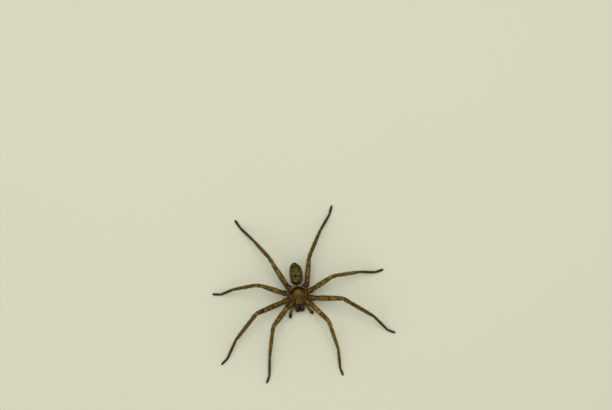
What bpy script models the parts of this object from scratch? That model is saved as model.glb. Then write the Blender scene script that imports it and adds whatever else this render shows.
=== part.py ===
"""A huntsman spider at life size, lying flat with its legs spread like a crab's.

Lengths are in millimetres until mesh_object() turns them into metres. +Z is up, the head looks
along -Y and the spider's left side is +X. The body is laid out round the middle of the carapace,
and centre_on_floor() moves the whole animal so that its box stands centred on the origin.
"""

import math
import random

import bmesh
import bpy
from mathutils import Matrix, Vector
from mathutils.bvhtree import BVHTree

# Driving dimensions
MM = 0.001
GAP = 0.3
CARAPACE_LENGTH = 9.6
CARAPACE_WIDTH = 9.6
RIM_Z = 5.75
UNDERSIDE_Z = 5.35
CORE_HALF_WIDTH = 2.45
CORE_HALF_LENGTH = 3.0
STERNUM_Z = 2.9
COXA_Z = 3.9
COXA_SLOPE = 8.0
PEDICEL_Z = 4.15
PEDICEL_RADIUS = 0.42
ABDOMEN_FRONT = 5.35
ABDOMEN_LENGTH = 10.15
ABDOMEN_WIDTH = 6.3
ABDOMEN_HEIGHT = 5.1
ABDOMEN_SWING = 2.5
ABDOMEN_TAIL_LEAN = -0.75
ABDOMEN_TAIL_BEND = -0.5
SPINNERET_MOUND = (0.66, 0.56)
CHELICERA_START = (-4.7, 4.95)
CHELICERA_LENGTH = 4.4
CHELICERA_SLOPE = 44.0
FANG_RADIUS = 0.30
PALP_ROOT = (1.25, -4.0, 2.6)
PALP_HIP = (3.1, -5.05, 2.8)
BLADE_BACK = (0.95, -3.65, 2.95)
BLADE_FRONT = (0.75, -5.1, 2.0)
TARSUS_START_Z = 0.70
TARSUS_TIP_Z = 0.36
SPINE_RADIUS = 0.25
SPINE_SLANT = 42.0
CLAW_RADIUS = 0.2
CLAW_LENGTH = 0.85
SOCKET_GAP = 0.14
LEG_SIDES = 10
FOOT_SIDES = 8
SEED = 7

# Each pair of legs: where the coxa leaves the body and points, and the length of each segment
LEG_PAIRS = {
    1: {"place": 50, "swing": 30, "coxa": 4.4, "lengths": (12.7, 3.5, 13.0, 10.8, 3.8), "girth": 1.0},
    2: {"place": 17, "swing": 15, "coxa": 4.2, "lengths": (16.2, 3.9, 14.4, 11.9, 4.0), "girth": 1.05},
    3: {"place": -17, "swing": -13, "coxa": 4.3, "lengths": (12.7, 3.1, 12.0, 8.9, 4.0), "girth": 0.97},
    4: {"place": -52, "swing": -36, "coxa": 3.9, "lengths": (14.6, 3.0, 12.4, 10.6, 4.4), "girth": 1.0},
}

# The pose of each leg in degrees. Swings are seen from above, 0 straight out to the side and
# positive towards the head, for femur, patella, tibia, metatarsus and tarsus. Slopes are of the
# first three of them, and the last two come down to the floor.
LEG_POSES = {
    ("right", 1): {"swings": (45.5, 74, 76.5, 81.5, 63), "slopes": (19, 4.5, -17.5)},
    ("left", 1): {"swings": (49.5, 76.5, 78.5, 91, 75), "slopes": (21, 8.5, -23)},
    ("right", 2): {"swings": (14.5, 45.5, 45.5, 58.5, 37.5), "slopes": (20.5, 7, -23)},
    ("left", 2): {"swings": (6, 38, 38, 52.5, 29), "slopes": (20, 5.5, -16)},
    ("right", 3): {"swings": (-27, -13, 5, 17.5, -9.5), "slopes": (23, 4, -19)},
    ("left", 3): {"swings": (-27.5, -8, 0, 10.5, -13), "slopes": (19, 6.5, -21.5)},
    ("right", 4): {"swings": (-65.5, -67.5, -53.5, -49, -62), "slopes": (19.5, 7, -21.5)},
    ("left", 4): {"swings": (-78.5, -63.5, -59.5, -52.5, -67.5), "slopes": (23, 5, -19)},
}

# Palps: femur, patella, tibia and tarsus, arched up beside the chelicerae
PALP_LENGTHS = (2.8, 1.3, 1.7, 3.3)
PALP_SWINGS = {"right": (58, 62, 70, 77), "left": (56, 58, 60, 62)}
PALP_SLOPES = {"right": (60, 15, -50, -37), "left": (60, 15, -52, -50)}

# Sections along each node: the run of the limb, the share of the way along it, half the width
# and half the height
FEMUR_SHAPE = (
    (0, 0.00, 0.70, 0.70), (0, 0.15, 0.90, 0.88), (0, 0.42, 1.03, 1.02), (0, 0.66, 1.07, 1.05),
    (0, 0.80, 1.00, 0.98), (1, 0.00, 1.12, 1.08), (1, 0.07, 1.10, 1.08), (1, 0.18, 1.23, 1.22),
    (1, 0.38, 1.32, 1.33), (1, 0.62, 1.27, 1.27), (1, 0.84, 1.10, 1.08), (1, 1.00, 0.97, 0.95),
)
TIBIA_SHAPE = (
    (0, 0.00, 0.97, 0.95), (0, 0.45, 1.04, 1.02), (1, 0.00, 0.90, 0.89), (1, 0.16, 0.98, 0.97),
    (1, 0.50, 0.93, 0.92), (1, 0.84, 0.81, 0.80), (1, 1.00, 0.74, 0.73),
)
METATARSUS_SHAPE = (
    (0, 0.00, 0.70, 0.69), (0, 0.10, 0.70, 0.69), (0, 0.45, 0.65, 0.64), (0, 0.88, 0.56, 0.55),
    (0, 1.00, 0.55, 0.52),
)
TARSUS_SHAPE = (
    (0, 0.00, 0.50, 0.50), (0, 0.25, 0.54, 0.54), (0, 0.60, 0.56, 0.55), (0, 0.88, 0.52, 0.50),
    (0, 0.96, 0.42, 0.40), (0, 1.00, 0.26, 0.24),
)
PALP_SHAPE = (
    (0, 0.00, 0.40, 0.38), (0, 0.50, 0.46, 0.44), (1, 0.00, 0.50, 0.50), (1, 0.45, 0.63, 0.63),
    (2, 0.00, 0.66, 0.64), (2, 0.50, 0.76, 0.72), (3, 0.00, 0.70, 0.66), (3, 0.50, 0.78, 0.72),
    (4, 0.00, 0.70, 0.66), (4, 0.20, 0.83, 0.78), (4, 0.52, 0.84, 0.78), (4, 0.80, 0.68, 0.63),
    (4, 0.93, 0.45, 0.43), (4, 1.00, 0.20, 0.20),
)
FEMUR_BOW = 0.30
TIBIA_BOW = 0.12

# Spines: the share of the way along the segment, the turn round it, 0 on top and positive on the
# side that faces the head when the leg is held out straight, and the length
FEMUR_SPINES = ((0.38, 12, 1.5), (0.62, -12, 1.6), (0.86, 8, 1.5), (0.70, 72, 1.5), (0.72, -72, 1.5))
TIBIA_SPINES = (
    (0.18, 150, 2.1), (0.18, -150, 2.1), (0.50, 150, 2.1), (0.50, -150, 2.1),
    (0.84, 150, 1.8), (0.84, -150, 1.8), (0.36, 82, 1.9), (0.68, -82, 1.9),
)
METATARSUS_SPINES = ((0.13, 145, 1.7), (0.13, -145, 1.7), (0.42, 140, 1.4), (0.42, -140, 1.4))

# Eyes: how far from the midline, where the ray that finds each one starts and points, its radius
EYES = {
    "anterior_median": {"x": 0.44, "start": (-3.2, 6.62), "aim": (0.0, -1.0, 0.05), "radius": 0.24},
    "anterior_lateral": {"x": 1.32, "start": (-3.2, 6.58), "aim": (0.15, -1.0, 0.0), "radius": 0.30},
    "posterior_median": {"x": 0.62, "start": (-3.4, 6.6), "aim": (0.0, -0.62, 0.78), "radius": 0.24},
    "posterior_lateral": {"x": 1.55, "start": (-3.1, 6.6), "aim": (0.35, -0.42, 0.80), "radius": 0.29},
}

COLOURS = {
    "carapace": (0.16, 0.09, 0.035), "sternum": (0.20, 0.13, 0.06), "abdomen": (0.09, 0.08, 0.035),
    "pedicel": (0.14, 0.10, 0.05), "spinnerets": (0.05, 0.04, 0.02), "chelicera": (0.035, 0.02, 0.012),
    "fang": (0.02, 0.008, 0.005), "palp": (0.10, 0.07, 0.03), "eye": (0.01, 0.008, 0.008),
    "femur": (0.13, 0.10, 0.04), "tibia": (0.11, 0.07, 0.03), "metatarsus": (0.07, 0.05, 0.02),
    "tarsus": (0.05, 0.035, 0.018),
}
ROUGHNESS = {"eye": 0.08, "fang": 0.25, "chelicera": 0.4}


def clear_scene():
    for obj in list(bpy.data.objects):
        bpy.data.objects.remove(obj)


def material(kind):
    """One Principled material for each kind of part."""
    made = bpy.data.materials.get(kind)
    if made:
        return made
    made = bpy.data.materials.new(kind)
    made.use_nodes = True
    shader = made.node_tree.nodes["Principled BSDF"]
    shader.inputs["Base Color"].default_value = (*COLOURS[kind], 1.0)
    shader.inputs["Roughness"].default_value = ROUGHNESS.get(kind, 0.65)
    shader.inputs["Metallic"].default_value = 0.0
    return made


def mesh_object(name, kind, points, faces):
    """A closed mesh in metres, with its faces turned outwards."""
    bm = bmesh.new()
    corners = [bm.verts.new(Vector(p) * MM) for p in points]
    for face in faces:
        bm.faces.new([corners[i] for i in face])
    bmesh.ops.recalc_face_normals(bm, faces=bm.faces)
    mesh = bpy.data.meshes.new(name)
    bm.to_mesh(mesh)
    bm.free()
    mesh.shade_smooth()
    mesh.set_sharp_from_angle(angle=math.radians(50))
    mesh.materials.append(material(kind))
    obj = bpy.data.objects.new(name, mesh)
    bpy.context.scene.collection.objects.link(obj)
    return obj


def loft_faces(ring_count, sides):
    """Quads between neighbouring rings, and one flat face at each end."""
    faces = [
        (first + k, first + (k + 1) % sides, first + sides + (k + 1) % sides, first + sides + k)
        for first in range(0, (ring_count - 1) * sides, sides)
        for k in range(sides)
    ]
    last = (ring_count - 1) * sides
    return faces + [tuple(range(sides)), tuple(range(last, last + sides))]


def loft(name, kind, rings):
    points = [p for ring in rings for p in ring]
    return mesh_object(name, kind, points, loft_faces(len(rings), len(rings[0])))


def smooth_value(table, t):
    """A value read from a few (place, value) pairs, eased so that the curve has no corners."""
    for i in range(len(table) - 1):
        if t <= table[i + 1][0]:
            break
    before, here = table[max(i - 1, 0)], table[i]
    there, after = table[i + 1], table[min(i + 2, len(table) - 1)]
    span = there[0] - here[0]
    share = (t - here[0]) / span
    rise = (there[1] - before[1]) / (there[0] - before[0]) * span
    fall = (after[1] - here[1]) / (after[0] - here[0]) * span
    a, b = share * share, share * share * share
    return (
        (2 * b - 3 * a + 1) * here[1] + (b - 2 * a + share) * rise
        + (3 * a - 2 * b) * there[1] + (b - a) * fall
    )


def direction(side, swing, slope):
    """A unit vector out from the body: side is 1 for the left legs and -1 for the right ones."""
    swing, slope = math.radians(swing), math.radians(slope)
    flat = math.cos(slope)
    return Vector((side * flat * math.cos(swing), -flat * math.sin(swing), math.sin(slope)))


def side_sign(side):
    return 1 if side == "left" else -1


def upright_axes(along):
    """The level axis across a limb, and the one that points up from it."""
    across = along.cross(Vector((0, 0, 1))).normalized()
    return across, across.cross(along)


def ring(centre, across, up, half_width, half_height, sides):
    """Points round an ellipse, with an edge and not a corner at its lowest place."""
    angles = [2 * math.pi * (k + 0.5) / sides for k in range(sides)]
    return [centre + across * half_width * math.cos(a) + up * half_height * math.sin(a) for a in angles]


def face_of(outline):
    """The middle of a ring of 24 points or another multiple of 4, and its two axes."""
    half, quarter = len(outline) // 2, len(outline) // 4
    middle = sum(outline, Vector()) / len(outline)
    across = outline[0] + outline[-1] - outline[half - 1] - outline[half]
    up = outline[quarter - 1] + outline[quarter] - outline[half + quarter - 1] - outline[half + quarter]
    return middle, across.normalized(), up.normalized()


def slid_onto(points, along, place, normal, offset):
    """Slides points along a limb's axis onto the plane of its joint."""
    return [p + along * ((place - p).dot(normal) + offset) / along.dot(normal) for p in points]


def limb(joints, shape, sides, bow, before, after, girth=1.0):
    """The rings of a limb node. Its ends lie on the planes that halve the angle to the limb before
    and after it, GAP/2 short of them, and its bends inside the node are mitred the same way."""
    runs = [(b - a).normalized() for a, b in zip(joints, joints[1:])]
    rings = []
    for i, (run, share, half_width, half_height) in enumerate(shape):
        along = runs[run]
        across, up = upright_axes(along)
        run_bow = bow if run == len(runs) - 1 else 0.0
        centre = joints[run].lerp(joints[run + 1], share) + up * run_bow * 4 * share * (1 - share)
        made = ring(centre, across, up, half_width * girth, half_height * girth, sides)
        if i == 0:
            normal = (before + along).normalized()
            made = slid_onto(made, along, joints[0], normal, GAP / 2)
        elif i == len(shape) - 1 and after is not None:
            normal = (along + after).normalized()
            made = slid_onto(made, along, joints[-1], normal, -GAP / 2)
        elif run > 0 and share == 0.0:
            normal = (runs[run - 1] + along).normalized()
            made = slid_onto(made, along, joints[run], normal, 0.0)
        rings.append(made)
    return rings


def leg_joints(side, pair):
    """The joints of one leg, from the side of the body to the tip of the tarsus."""
    data, pose, sign = LEG_PAIRS[pair], LEG_POSES[(side, pair)], side_sign(side)
    place = math.radians(data["place"])
    root = Vector((
        sign * (CORE_HALF_WIDTH + GAP) * math.cos(place),
        -(CORE_HALF_LENGTH + GAP) * math.sin(place),
        COXA_Z,
    ))
    joints = [root, root + direction(sign, data["swing"], COXA_SLOPE) * data["coxa"]]
    for length, swing, slope in zip(data["lengths"], pose["swings"], pose["slopes"]):
        joints.append(joints[-1] + direction(sign, swing, slope) * length)
    for i, end_z in ((3, TARSUS_START_Z), (4, TARSUS_TIP_Z)):
        length = data["lengths"][i]
        slope = -math.degrees(math.asin((joints[-1].z - end_z) / length))
        joints.append(joints[-1] + direction(sign, pose["swings"][i], slope) * length)
    return joints


def cone(name, kind, root, along, length, radius, sides=5, tip_share=0.12):
    """A tapered spine, claw or tube with a small flat tip."""
    across, up = upright_axes(along)
    tip = root + along * length
    rings = [
        ring(root, across, up, radius, radius, sides),
        ring(tip, across, up, radius * tip_share, radius * tip_share, sides),
    ]
    return loft(name, kind, rings)


def keep_largest_surface(mesh):
    """Drops every loose scrap but the biggest closed surface."""
    bm = bmesh.new()
    bm.from_mesh(mesh)
    waiting, shells = set(bm.verts), []
    while waiting:
        shell, edge_of_shell = set(), [waiting.pop()]
        while edge_of_shell:
            vert = edge_of_shell.pop()
            shell.add(vert)
            for edge in vert.link_edges:
                other = edge.other_vert(vert)
                if other in waiting:
                    waiting.discard(other)
                    edge_of_shell.append(other)
        shells.append(shell)
    shells.sort(key=len)
    bmesh.ops.delete(bm, geom=[v for shell in shells[:-1] for v in shell], context="VERTS")
    bm.to_mesh(mesh)
    bm.free()


def combine(obj, others, operation):
    """One Boolean of obj with all the others, applied, after which the others are removed."""
    group = bpy.data.collections.new(obj.name + "_pieces")
    bpy.context.scene.collection.children.link(group)
    for other in others:
        bpy.context.scene.collection.objects.unlink(other)
        group.objects.link(other)
    modifier = obj.modifiers.new("pieces", "BOOLEAN")
    modifier.operation = operation
    modifier.operand_type = "COLLECTION"
    modifier.collection = group
    graph = bpy.context.evaluated_depsgraph_get()
    shaped = bpy.data.meshes.new_from_object(obj.evaluated_get(graph))
    obj.modifiers.clear()
    obj.data = shaped
    for other in others:
        bpy.data.objects.remove(other)
    bpy.data.collections.remove(group)
    keep_largest_surface(shaped)
    return obj


def spines_of(node, start, end, radius, spines, sign, rng):
    """Spines for one segment, slanting towards its tip, each a little different."""
    kind = node.name.rsplit("_", 1)[1]
    along = (end - start).normalized()
    across, up = upright_axes(along)
    made = []
    for i, (share, turn, length) in enumerate(spines):
        turn = math.radians(turn + rng.uniform(-7, 7))
        slant = math.radians(SPINE_SLANT + rng.uniform(-6, 6))
        out = up * math.cos(turn) + across * sign * math.sin(turn)
        lean = along * math.cos(slant) + out * math.sin(slant)
        root = start.lerp(end, share) + out * radius * 0.35
        reach = length * rng.uniform(0.88, 1.1) + radius * 0.65
        made.append(cone(f"{node.name}_spine_{i}", kind, root, lean, reach, SPINE_RADIUS))
    return made


def claws_of(node, tip, along):
    """The pair of claws under the tuft at the tip of the tarsus."""
    across = upright_axes(along)[0]
    aim = (along + Vector((0, 0, -0.2))).normalized()
    roots = [tip + across * k * CLAW_RADIUS - along * 0.3 for k in (-1, 1)]
    return [cone(f"{node.name}_claw", "tarsus", root, aim, CLAW_LENGTH, CLAW_RADIUS) for root in roots]


def build_leg(side, pair):
    joints, girth, sign = leg_joints(side, pair), LEG_PAIRS[pair]["girth"], side_sign(side)
    runs = [(b - a).normalized() for a, b in zip(joints, joints[1:])]
    name = f"leg_{side}_{pair}_"
    rng = random.Random(SEED * 100 + pair * 10 + sign)

    rings = limb(joints[0:3], FEMUR_SHAPE, LEG_SIDES, FEMUR_BOW, runs[0], runs[2], girth)
    femur = loft(name + "femur", "femur", rings)
    combine(femur, spines_of(femur, joints[1], joints[2], 1.05 * girth, FEMUR_SPINES, sign, rng), "UNION")

    rings = limb(joints[2:5], TIBIA_SHAPE, LEG_SIDES, TIBIA_BOW, runs[1], runs[4], girth)
    tibia = loft(name + "tibia", "tibia", rings)
    combine(tibia, spines_of(tibia, joints[3], joints[4], 0.82 * girth, TIBIA_SPINES, sign, rng), "UNION")

    rings = limb(joints[4:6], METATARSUS_SHAPE, FOOT_SIDES, 0.0, runs[3], runs[5])
    shin = loft(name + "metatarsus", "metatarsus", rings)
    combine(shin, spines_of(shin, joints[4], joints[5], 0.56, METATARSUS_SPINES, sign, rng), "UNION")

    rings = limb(joints[5:7], TARSUS_SHAPE, FOOT_SIDES, 0.0, runs[4], None)
    rings = [[Vector((p.x, p.y, max(p.z, 0.0))) for p in one] for one in rings]
    tarsus = loft(name + "tarsus", "tarsus", rings)
    combine(tarsus, claws_of(tarsus, joints[6], runs[5]), "UNION")


def level_ring(y, half_width, low, rim, top, sides, lean=0.0):
    """A section of the body across its length: a dome above the rim and a flatter belly below."""
    points = []
    for k in range(sides):
        a = 2 * math.pi * (k + 0.5) / sides
        rise = top - rim if math.sin(a) > 0 else rim - low
        z = rim + rise * math.sin(a)
        points.append(Vector((half_width * math.cos(a), y - lean * (z - rim), z)))
    return points


def build_carapace():
    half_length, half_width = CARAPACE_LENGTH / 2, CARAPACE_WIDTH / 2
    # Share of the length from the front, with half-widths, dome heights and the underside
    widths = (
        (0.0, 0.47), (0.025, 0.53), (0.07, 0.56), (0.16, 0.64), (0.28, 0.80), (0.42, 0.95),
        (0.58, 1.0), (0.74, 0.95), (0.86, 0.82), (0.94, 0.64), (0.985, 0.48), (1.0, 0.38),
    )
    tops = (
        (0.0, 6.45), (0.02, 6.9), (0.06, 7.35), (0.13, 7.75), (0.25, 7.98), (0.42, 8.1), (0.60, 8.2),
        (0.76, 8.0), (0.88, 7.35), (0.96, 6.65), (1.0, 6.2),
    )
    undersides = ((0.0, 5.55), (0.1, UNDERSIDE_Z), (0.85, UNDERSIDE_Z), (1.0, 5.65))
    rings = []
    for share in (0.0, 0.02, 0.06, 0.12, 0.2, 0.3, 0.4, 0.52, 0.64, 0.75, 0.84, 0.91, 0.96, 0.985, 1.0):
        y = -half_length + share * CARAPACE_LENGTH
        top, low = smooth_value(tops, share), smooth_value(undersides, share)
        rings.append(level_ring(y, half_width * smooth_value(widths, share), low, RIM_Z, top, 26))
    carapace = loft("carapace", "carapace", rings)
    return combine(carapace, place_eyes(carapace), "DIFFERENCE")


def place_eyes(carapace):
    """Sets each eye in the surface of the carapace, and returns the sockets to be cut for them."""
    bm = bmesh.new()
    bm.from_mesh(carapace.data)
    surface = BVHTree.FromBMesh(bm)
    bm.free()
    sockets = []
    for place, eye in EYES.items():
        for side in ("right", "left"):
            sign = side_sign(side)
            start = Vector((sign * eye["x"], *eye["start"])) * MM
            aim = Vector((sign * eye["aim"][0], *eye["aim"][1:])).normalized()
            hit, normal = surface.ray_cast(start, aim)[:2]
            outward = normal if normal.dot(aim) > 0 else -normal
            centre = hit / MM - outward * eye["radius"] * 0.1
            ball(f"eye_{place}_{side}", "eye", centre, eye["radius"])
            sockets.append(ball(f"socket_{place}_{side}", "eye", centre, eye["radius"] + SOCKET_GAP))
    return sockets


def ball(name, kind, centre, radius, segments=10, rings=6):
    bm = bmesh.new()
    bmesh.ops.create_uvsphere(bm, u_segments=segments, v_segments=rings, radius=radius)
    points = [v.co + centre for v in bm.verts]
    faces = [[v.index for v in f.verts] for f in bm.faces]
    bm.free()
    return mesh_object(name, kind, points, faces)


def build_sternum():
    """The plate under the body and the core above it that the coxae stand round."""
    levels = (
        (STERNUM_Z, 0.78, 0.30), (STERNUM_Z + 0.12, 0.92, 0.26), (STERNUM_Z + 0.4, 1.0, 0.20),
        (COXA_Z, 1.0, 0.0), (UNDERSIDE_Z - GAP, 1.0, 0.0),
    )
    across, back = Vector((1, 0, 0)), Vector((0, 1, 0))
    rings = []
    for z, share, taper in levels:
        half_width, half_length = CORE_HALF_WIDTH * share, CORE_HALF_LENGTH * share
        outline = ring(Vector((0, 0, z)), across, back, half_width, half_length, 24)
        for point in outline:
            point.x *= 1 - taper * max(0.0, point.y / CORE_HALF_LENGTH)
        rings.append(outline)
    loft("sternum", "sternum", rings)


def abdomen_ring(share, sides=24):
    """A section of the abdomen. It leans forward at the front, where it bulges over the waist, and
    back at the tail, which overhangs the spinnerets and is bent a little to the right."""
    widths = (
        (0.0, 0.19), (0.04, 0.50), (0.10, 0.75), (0.20, 0.92), (0.34, 0.99), (0.50, 1.0), (0.66, 0.98),
        (0.80, 0.89), (0.92, 0.70), (1.0, 0.46),
    )
    heights = (
        (0.0, 0.22), (0.04, 0.48), (0.10, 0.70), (0.20, 0.88), (0.34, 0.98), (0.50, 1.0), (0.66, 0.95),
        (0.80, 0.80), (0.92, 0.58), (1.0, 0.38),
    )
    middles = ((0.0, 5.0), (0.10, 5.35), (0.34, 6.0), (0.60, 6.0), (0.85, 5.35), (1.0, 4.9))
    leans = ((0.0, 0.35), (0.4, 0.0), (0.75, 0.0), (1.0, ABDOMEN_TAIL_LEAN))
    bends = ((0.0, 0.0), (0.55, 0.0), (0.8, ABDOMEN_TAIL_BEND * 0.35), (1.0, ABDOMEN_TAIL_BEND))
    middle = smooth_value(middles, share)
    half_height = ABDOMEN_HEIGHT / 2 * smooth_value(heights, share)
    half_width = ABDOMEN_WIDTH / 2 * smooth_value(widths, share)
    low, top, lean = middle - half_height, middle + half_height, smooth_value(leans, share)
    outline = level_ring(share * ABDOMEN_LENGTH, half_width, low, middle, top, sides, lean)
    swing = Matrix.Rotation(math.radians(-ABDOMEN_SWING), 3, "Z")
    bend = Vector((smooth_value(bends, share), 0, 0))
    return [swing @ (point + bend) + Vector((0, ABDOMEN_FRONT, 0)) for point in outline]


def build_abdomen():
    shares = (0.0, 0.015, 0.04, 0.08, 0.14, 0.22, 0.32, 0.43, 0.54, 0.65, 0.75, 0.84, 0.91, 0.965, 1.0)
    loft("abdomen", "abdomen", [abdomen_ring(share) for share in shares])


def build_pedicel():
    """The thin waist, from the back of the core to the flat front of the abdomen."""
    start = Vector((0, CORE_HALF_LENGTH + GAP, PEDICEL_Z))
    middle, across, up = face_of(abdomen_ring(0.0))
    end = middle + across.cross(up) * GAP
    radius = PEDICEL_RADIUS
    rings = [
        ring(start, Vector((1, 0, 0)), Vector((0, 0, 1)), radius, radius * 0.95, 12),
        ring(start.lerp(end, 0.5), across, up, radius * 0.86, radius * 0.81, 12),
        ring(end, across, up, radius * 1.1, radius, 12),
    ]
    loft("pedicel", "pedicel", rings)


def build_spinnerets():
    """A short mound with two large and two small spinnerets, under the overhang of the tail."""
    middle, across, up = face_of(abdomen_ring(1.0))
    back = up.cross(across)
    start = middle + back * GAP
    half_width, half_height = SPINNERET_MOUND
    rings = [
        ring(start + back * reach, across, up, half_width * share, half_height * share, 16)
        for reach, share in ((0.0, 1.0), (0.35, 0.88), (0.5, 0.6))
    ]
    mound = loft("spinnerets", "spinnerets", rings)
    tubes = []
    for x in (-1, 1):
        for rise, radius, length in ((-0.22, 0.27, 0.85), (0.24, 0.25, 0.62)):
            root = start + across * x * 0.29 + up * rise + back * 0.12
            aim = (across * x * 0.10 + back + up * rise * 0.25).normalized()
            tubes.append(cone("spinneret", "spinnerets", root, aim, length, radius, LEG_SIDES, 0.5))
    combine(mound, tubes, "UNION")


def chelicera_frame(sign, share):
    """A place on a chelicera's axis, which runs down and forward and swells away from the midline."""
    down = direction(1, 90, -CHELICERA_SLOPE)
    x = smooth_value(((0.0, 1.1), (0.4, 1.29), (1.0, 1.2)), share)
    return Vector((sign * x, *CHELICERA_START)) + down * CHELICERA_LENGTH * share, down


def build_chelicera(side):
    sign, across = side_sign(side), Vector((1, 0, 0))
    sections = (
        (0.0, 0.93, 0.93), (0.12, 1.04, 1.08), (0.28, 1.11, 1.2), (0.45, 1.13, 1.22), (0.65, 1.10, 1.15),
        (0.82, 1.01, 1.02), (0.94, 0.84, 0.82), (1.0, 0.60, 0.58),
    )
    rings = []
    for share, half_width, half_height in sections:
        centre, down = chelicera_frame(sign, share)
        rings.append(ring(centre, across, across.cross(down), half_width, half_height, 16))
    loft(f"chelicera_{side}", "chelicera", rings)


def build_fang(side):
    """A fang that leaves the tip of its chelicera and curves in and back under the mouth."""
    sign, across = side_sign(side), Vector((1, 0, 0))
    tip, down = chelicera_frame(sign, 1.0)
    root = tip + down * (GAP + 0.12)
    bend = root + Vector((-sign * 0.15, 0.25, -0.62))
    point = root + Vector((-sign * 0.75, 1.25, -0.85))
    rings = []
    for share, girth in ((0.0, 1.0), (0.25, 0.93), (0.5, 0.73), (0.75, 0.5), (1.0, 0.17)):
        centre = root.lerp(bend, share).lerp(bend.lerp(point, share), share)
        along = (bend - root).lerp(point - bend, share).normalized() if share else down
        up = across.cross(along).normalized()
        rings.append(ring(centre, across, up, FANG_RADIUS * girth, FANG_RADIUS * girth, FOOT_SIDES))
    loft(f"fang_{side}", "fang", rings)


def on_side(sign, place):
    """A place given for the left side, on the side asked for."""
    return Vector((sign * place[0], *place[1:]))


def build_palp(side):
    """A palp, with the flat blade of its coxa beside the mouth."""
    sign, across = side_sign(side), Vector((1, 0, 0))
    joints = [on_side(sign, PALP_ROOT), on_side(sign, PALP_HIP)]
    for length, swing, slope in zip(PALP_LENGTHS, PALP_SWINGS[side], PALP_SLOPES[side]):
        joints.append(joints[-1] + direction(sign, swing, slope) * length)
    first = (joints[1] - joints[0]).normalized()
    palp = loft(f"palp_{side}", "palp", limb(joints, PALP_SHAPE, LEG_SIDES, 0.0, first, None))
    back, front = on_side(sign, BLADE_BACK), on_side(sign, BLADE_FRONT)
    up = across.cross(front - back).normalized()
    sections = ((0.0, 0.38, 0.26), (0.25, 0.50, 0.33), (0.75, 0.48, 0.30), (1.0, 0.28, 0.16))
    rings = [ring(back.lerp(front, share), across, up, wide, thick, 12) for share, wide, thick in sections]
    combine(palp, [loft("blade", "palp", rings)], "UNION")


def centre_on_floor():
    """Moves the animal so that its box is centred over the origin, with the feet at Z = 0."""
    meshes = [obj.data for obj in bpy.context.scene.objects]
    corners = [v.co for mesh in meshes for v in mesh.vertices]
    middle = [(max(c[i] for c in corners) + min(c[i] for c in corners)) / 2 for i in (0, 1)]
    for mesh in meshes:
        for vert in mesh.vertices:
            vert.co.x -= middle[0]
            vert.co.y -= middle[1]


def main():
    clear_scene()
    build_carapace()
    build_sternum()
    build_abdomen()
    build_pedicel()
    build_spinnerets()
    for side in ("right", "left"):
        build_chelicera(side)
        build_fang(side)
        build_palp(side)
        for pair in LEG_PAIRS:
            build_leg(side, pair)
    centre_on_floor()


main()
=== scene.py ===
"""The looks of a life-size huntsman spider: its skins, spines, eyes, claws and coat.

Shapes are worked out in millimetres round the middle of the carapace, the head towards -Y, the
spider's left side at +X and the floor at Z = 0. mesh_object() turns them into metres in the frame.
"""

import math

import bpy
import numpy as np
from mathutils import Matrix, Vector


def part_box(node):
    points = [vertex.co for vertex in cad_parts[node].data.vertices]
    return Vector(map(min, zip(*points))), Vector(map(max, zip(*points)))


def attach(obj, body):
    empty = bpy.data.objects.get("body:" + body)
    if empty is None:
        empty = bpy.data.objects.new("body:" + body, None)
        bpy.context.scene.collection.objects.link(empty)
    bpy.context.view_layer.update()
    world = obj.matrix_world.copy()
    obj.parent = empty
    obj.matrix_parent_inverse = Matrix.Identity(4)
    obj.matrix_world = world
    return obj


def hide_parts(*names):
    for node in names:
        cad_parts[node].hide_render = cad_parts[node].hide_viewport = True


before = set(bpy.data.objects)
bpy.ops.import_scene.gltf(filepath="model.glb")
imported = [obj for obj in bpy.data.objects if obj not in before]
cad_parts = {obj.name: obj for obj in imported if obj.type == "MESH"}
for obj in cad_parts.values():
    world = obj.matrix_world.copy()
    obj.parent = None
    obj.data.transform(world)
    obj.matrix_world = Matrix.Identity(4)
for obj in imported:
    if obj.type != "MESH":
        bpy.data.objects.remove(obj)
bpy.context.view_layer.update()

MM = 0.001
SEED = 11
CARAPACE_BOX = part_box("carapace")
MIDDLE = np.array([(CARAPACE_BOX[0][i] + CARAPACE_BOX[1][i]) / 2 / MM for i in (0, 1)] + [0.0])
SKIN_DEPTH = 0.08
SUNK = 0.03
LEAST_Z = 0.012
PATCH = 0.0015

# Driving sizes of the body, as in the solids
GAP = 0.3
CARAPACE_LENGTH = 9.6
CARAPACE_WIDTH = 9.6
RIM_Z = 5.75
UNDERSIDE_Z = 5.35
CORE_HALF_WIDTH = 2.45
CORE_HALF_LENGTH = 3.0
STERNUM_Z = 2.9
COXA_Z = 3.9
COXA_SLOPE = 8.0
PEDICEL_Z = 4.15
PEDICEL_RADIUS = 0.42
ABDOMEN_FRONT = 5.35
ABDOMEN_LENGTH = 10.15
ABDOMEN_WIDTH = 6.3
ABDOMEN_HEIGHT = 5.1
ABDOMEN_SWING = 2.5
ABDOMEN_TAIL_LEAN = -0.75
ABDOMEN_TAIL_BEND = -0.5
CHELICERA_START = (-4.7, 4.95)
CHELICERA_LENGTH = 4.4
CHELICERA_SLOPE = 44.0
PALP_ROOT = (1.25, -4.0, 2.6)
PALP_HIP = (3.1, -5.05, 2.8)
BLADE_BACK = (0.95, -3.65, 2.95)
BLADE_FRONT = (0.75, -5.1, 2.0)
TARSUS_START_Z = 0.70
TARSUS_TIP_Z = 0.36
FEMUR_BOW = 0.30
TIBIA_BOW = 0.12

def lin(red, green, blue):
    """A colour seen on a screen, as the light that it stands for."""
    share = np.array([red, green, blue]) / 255
    return np.where(share <= 0.04045, share / 12.92, ((share + 0.055) / 1.055) ** 2.4)


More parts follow.
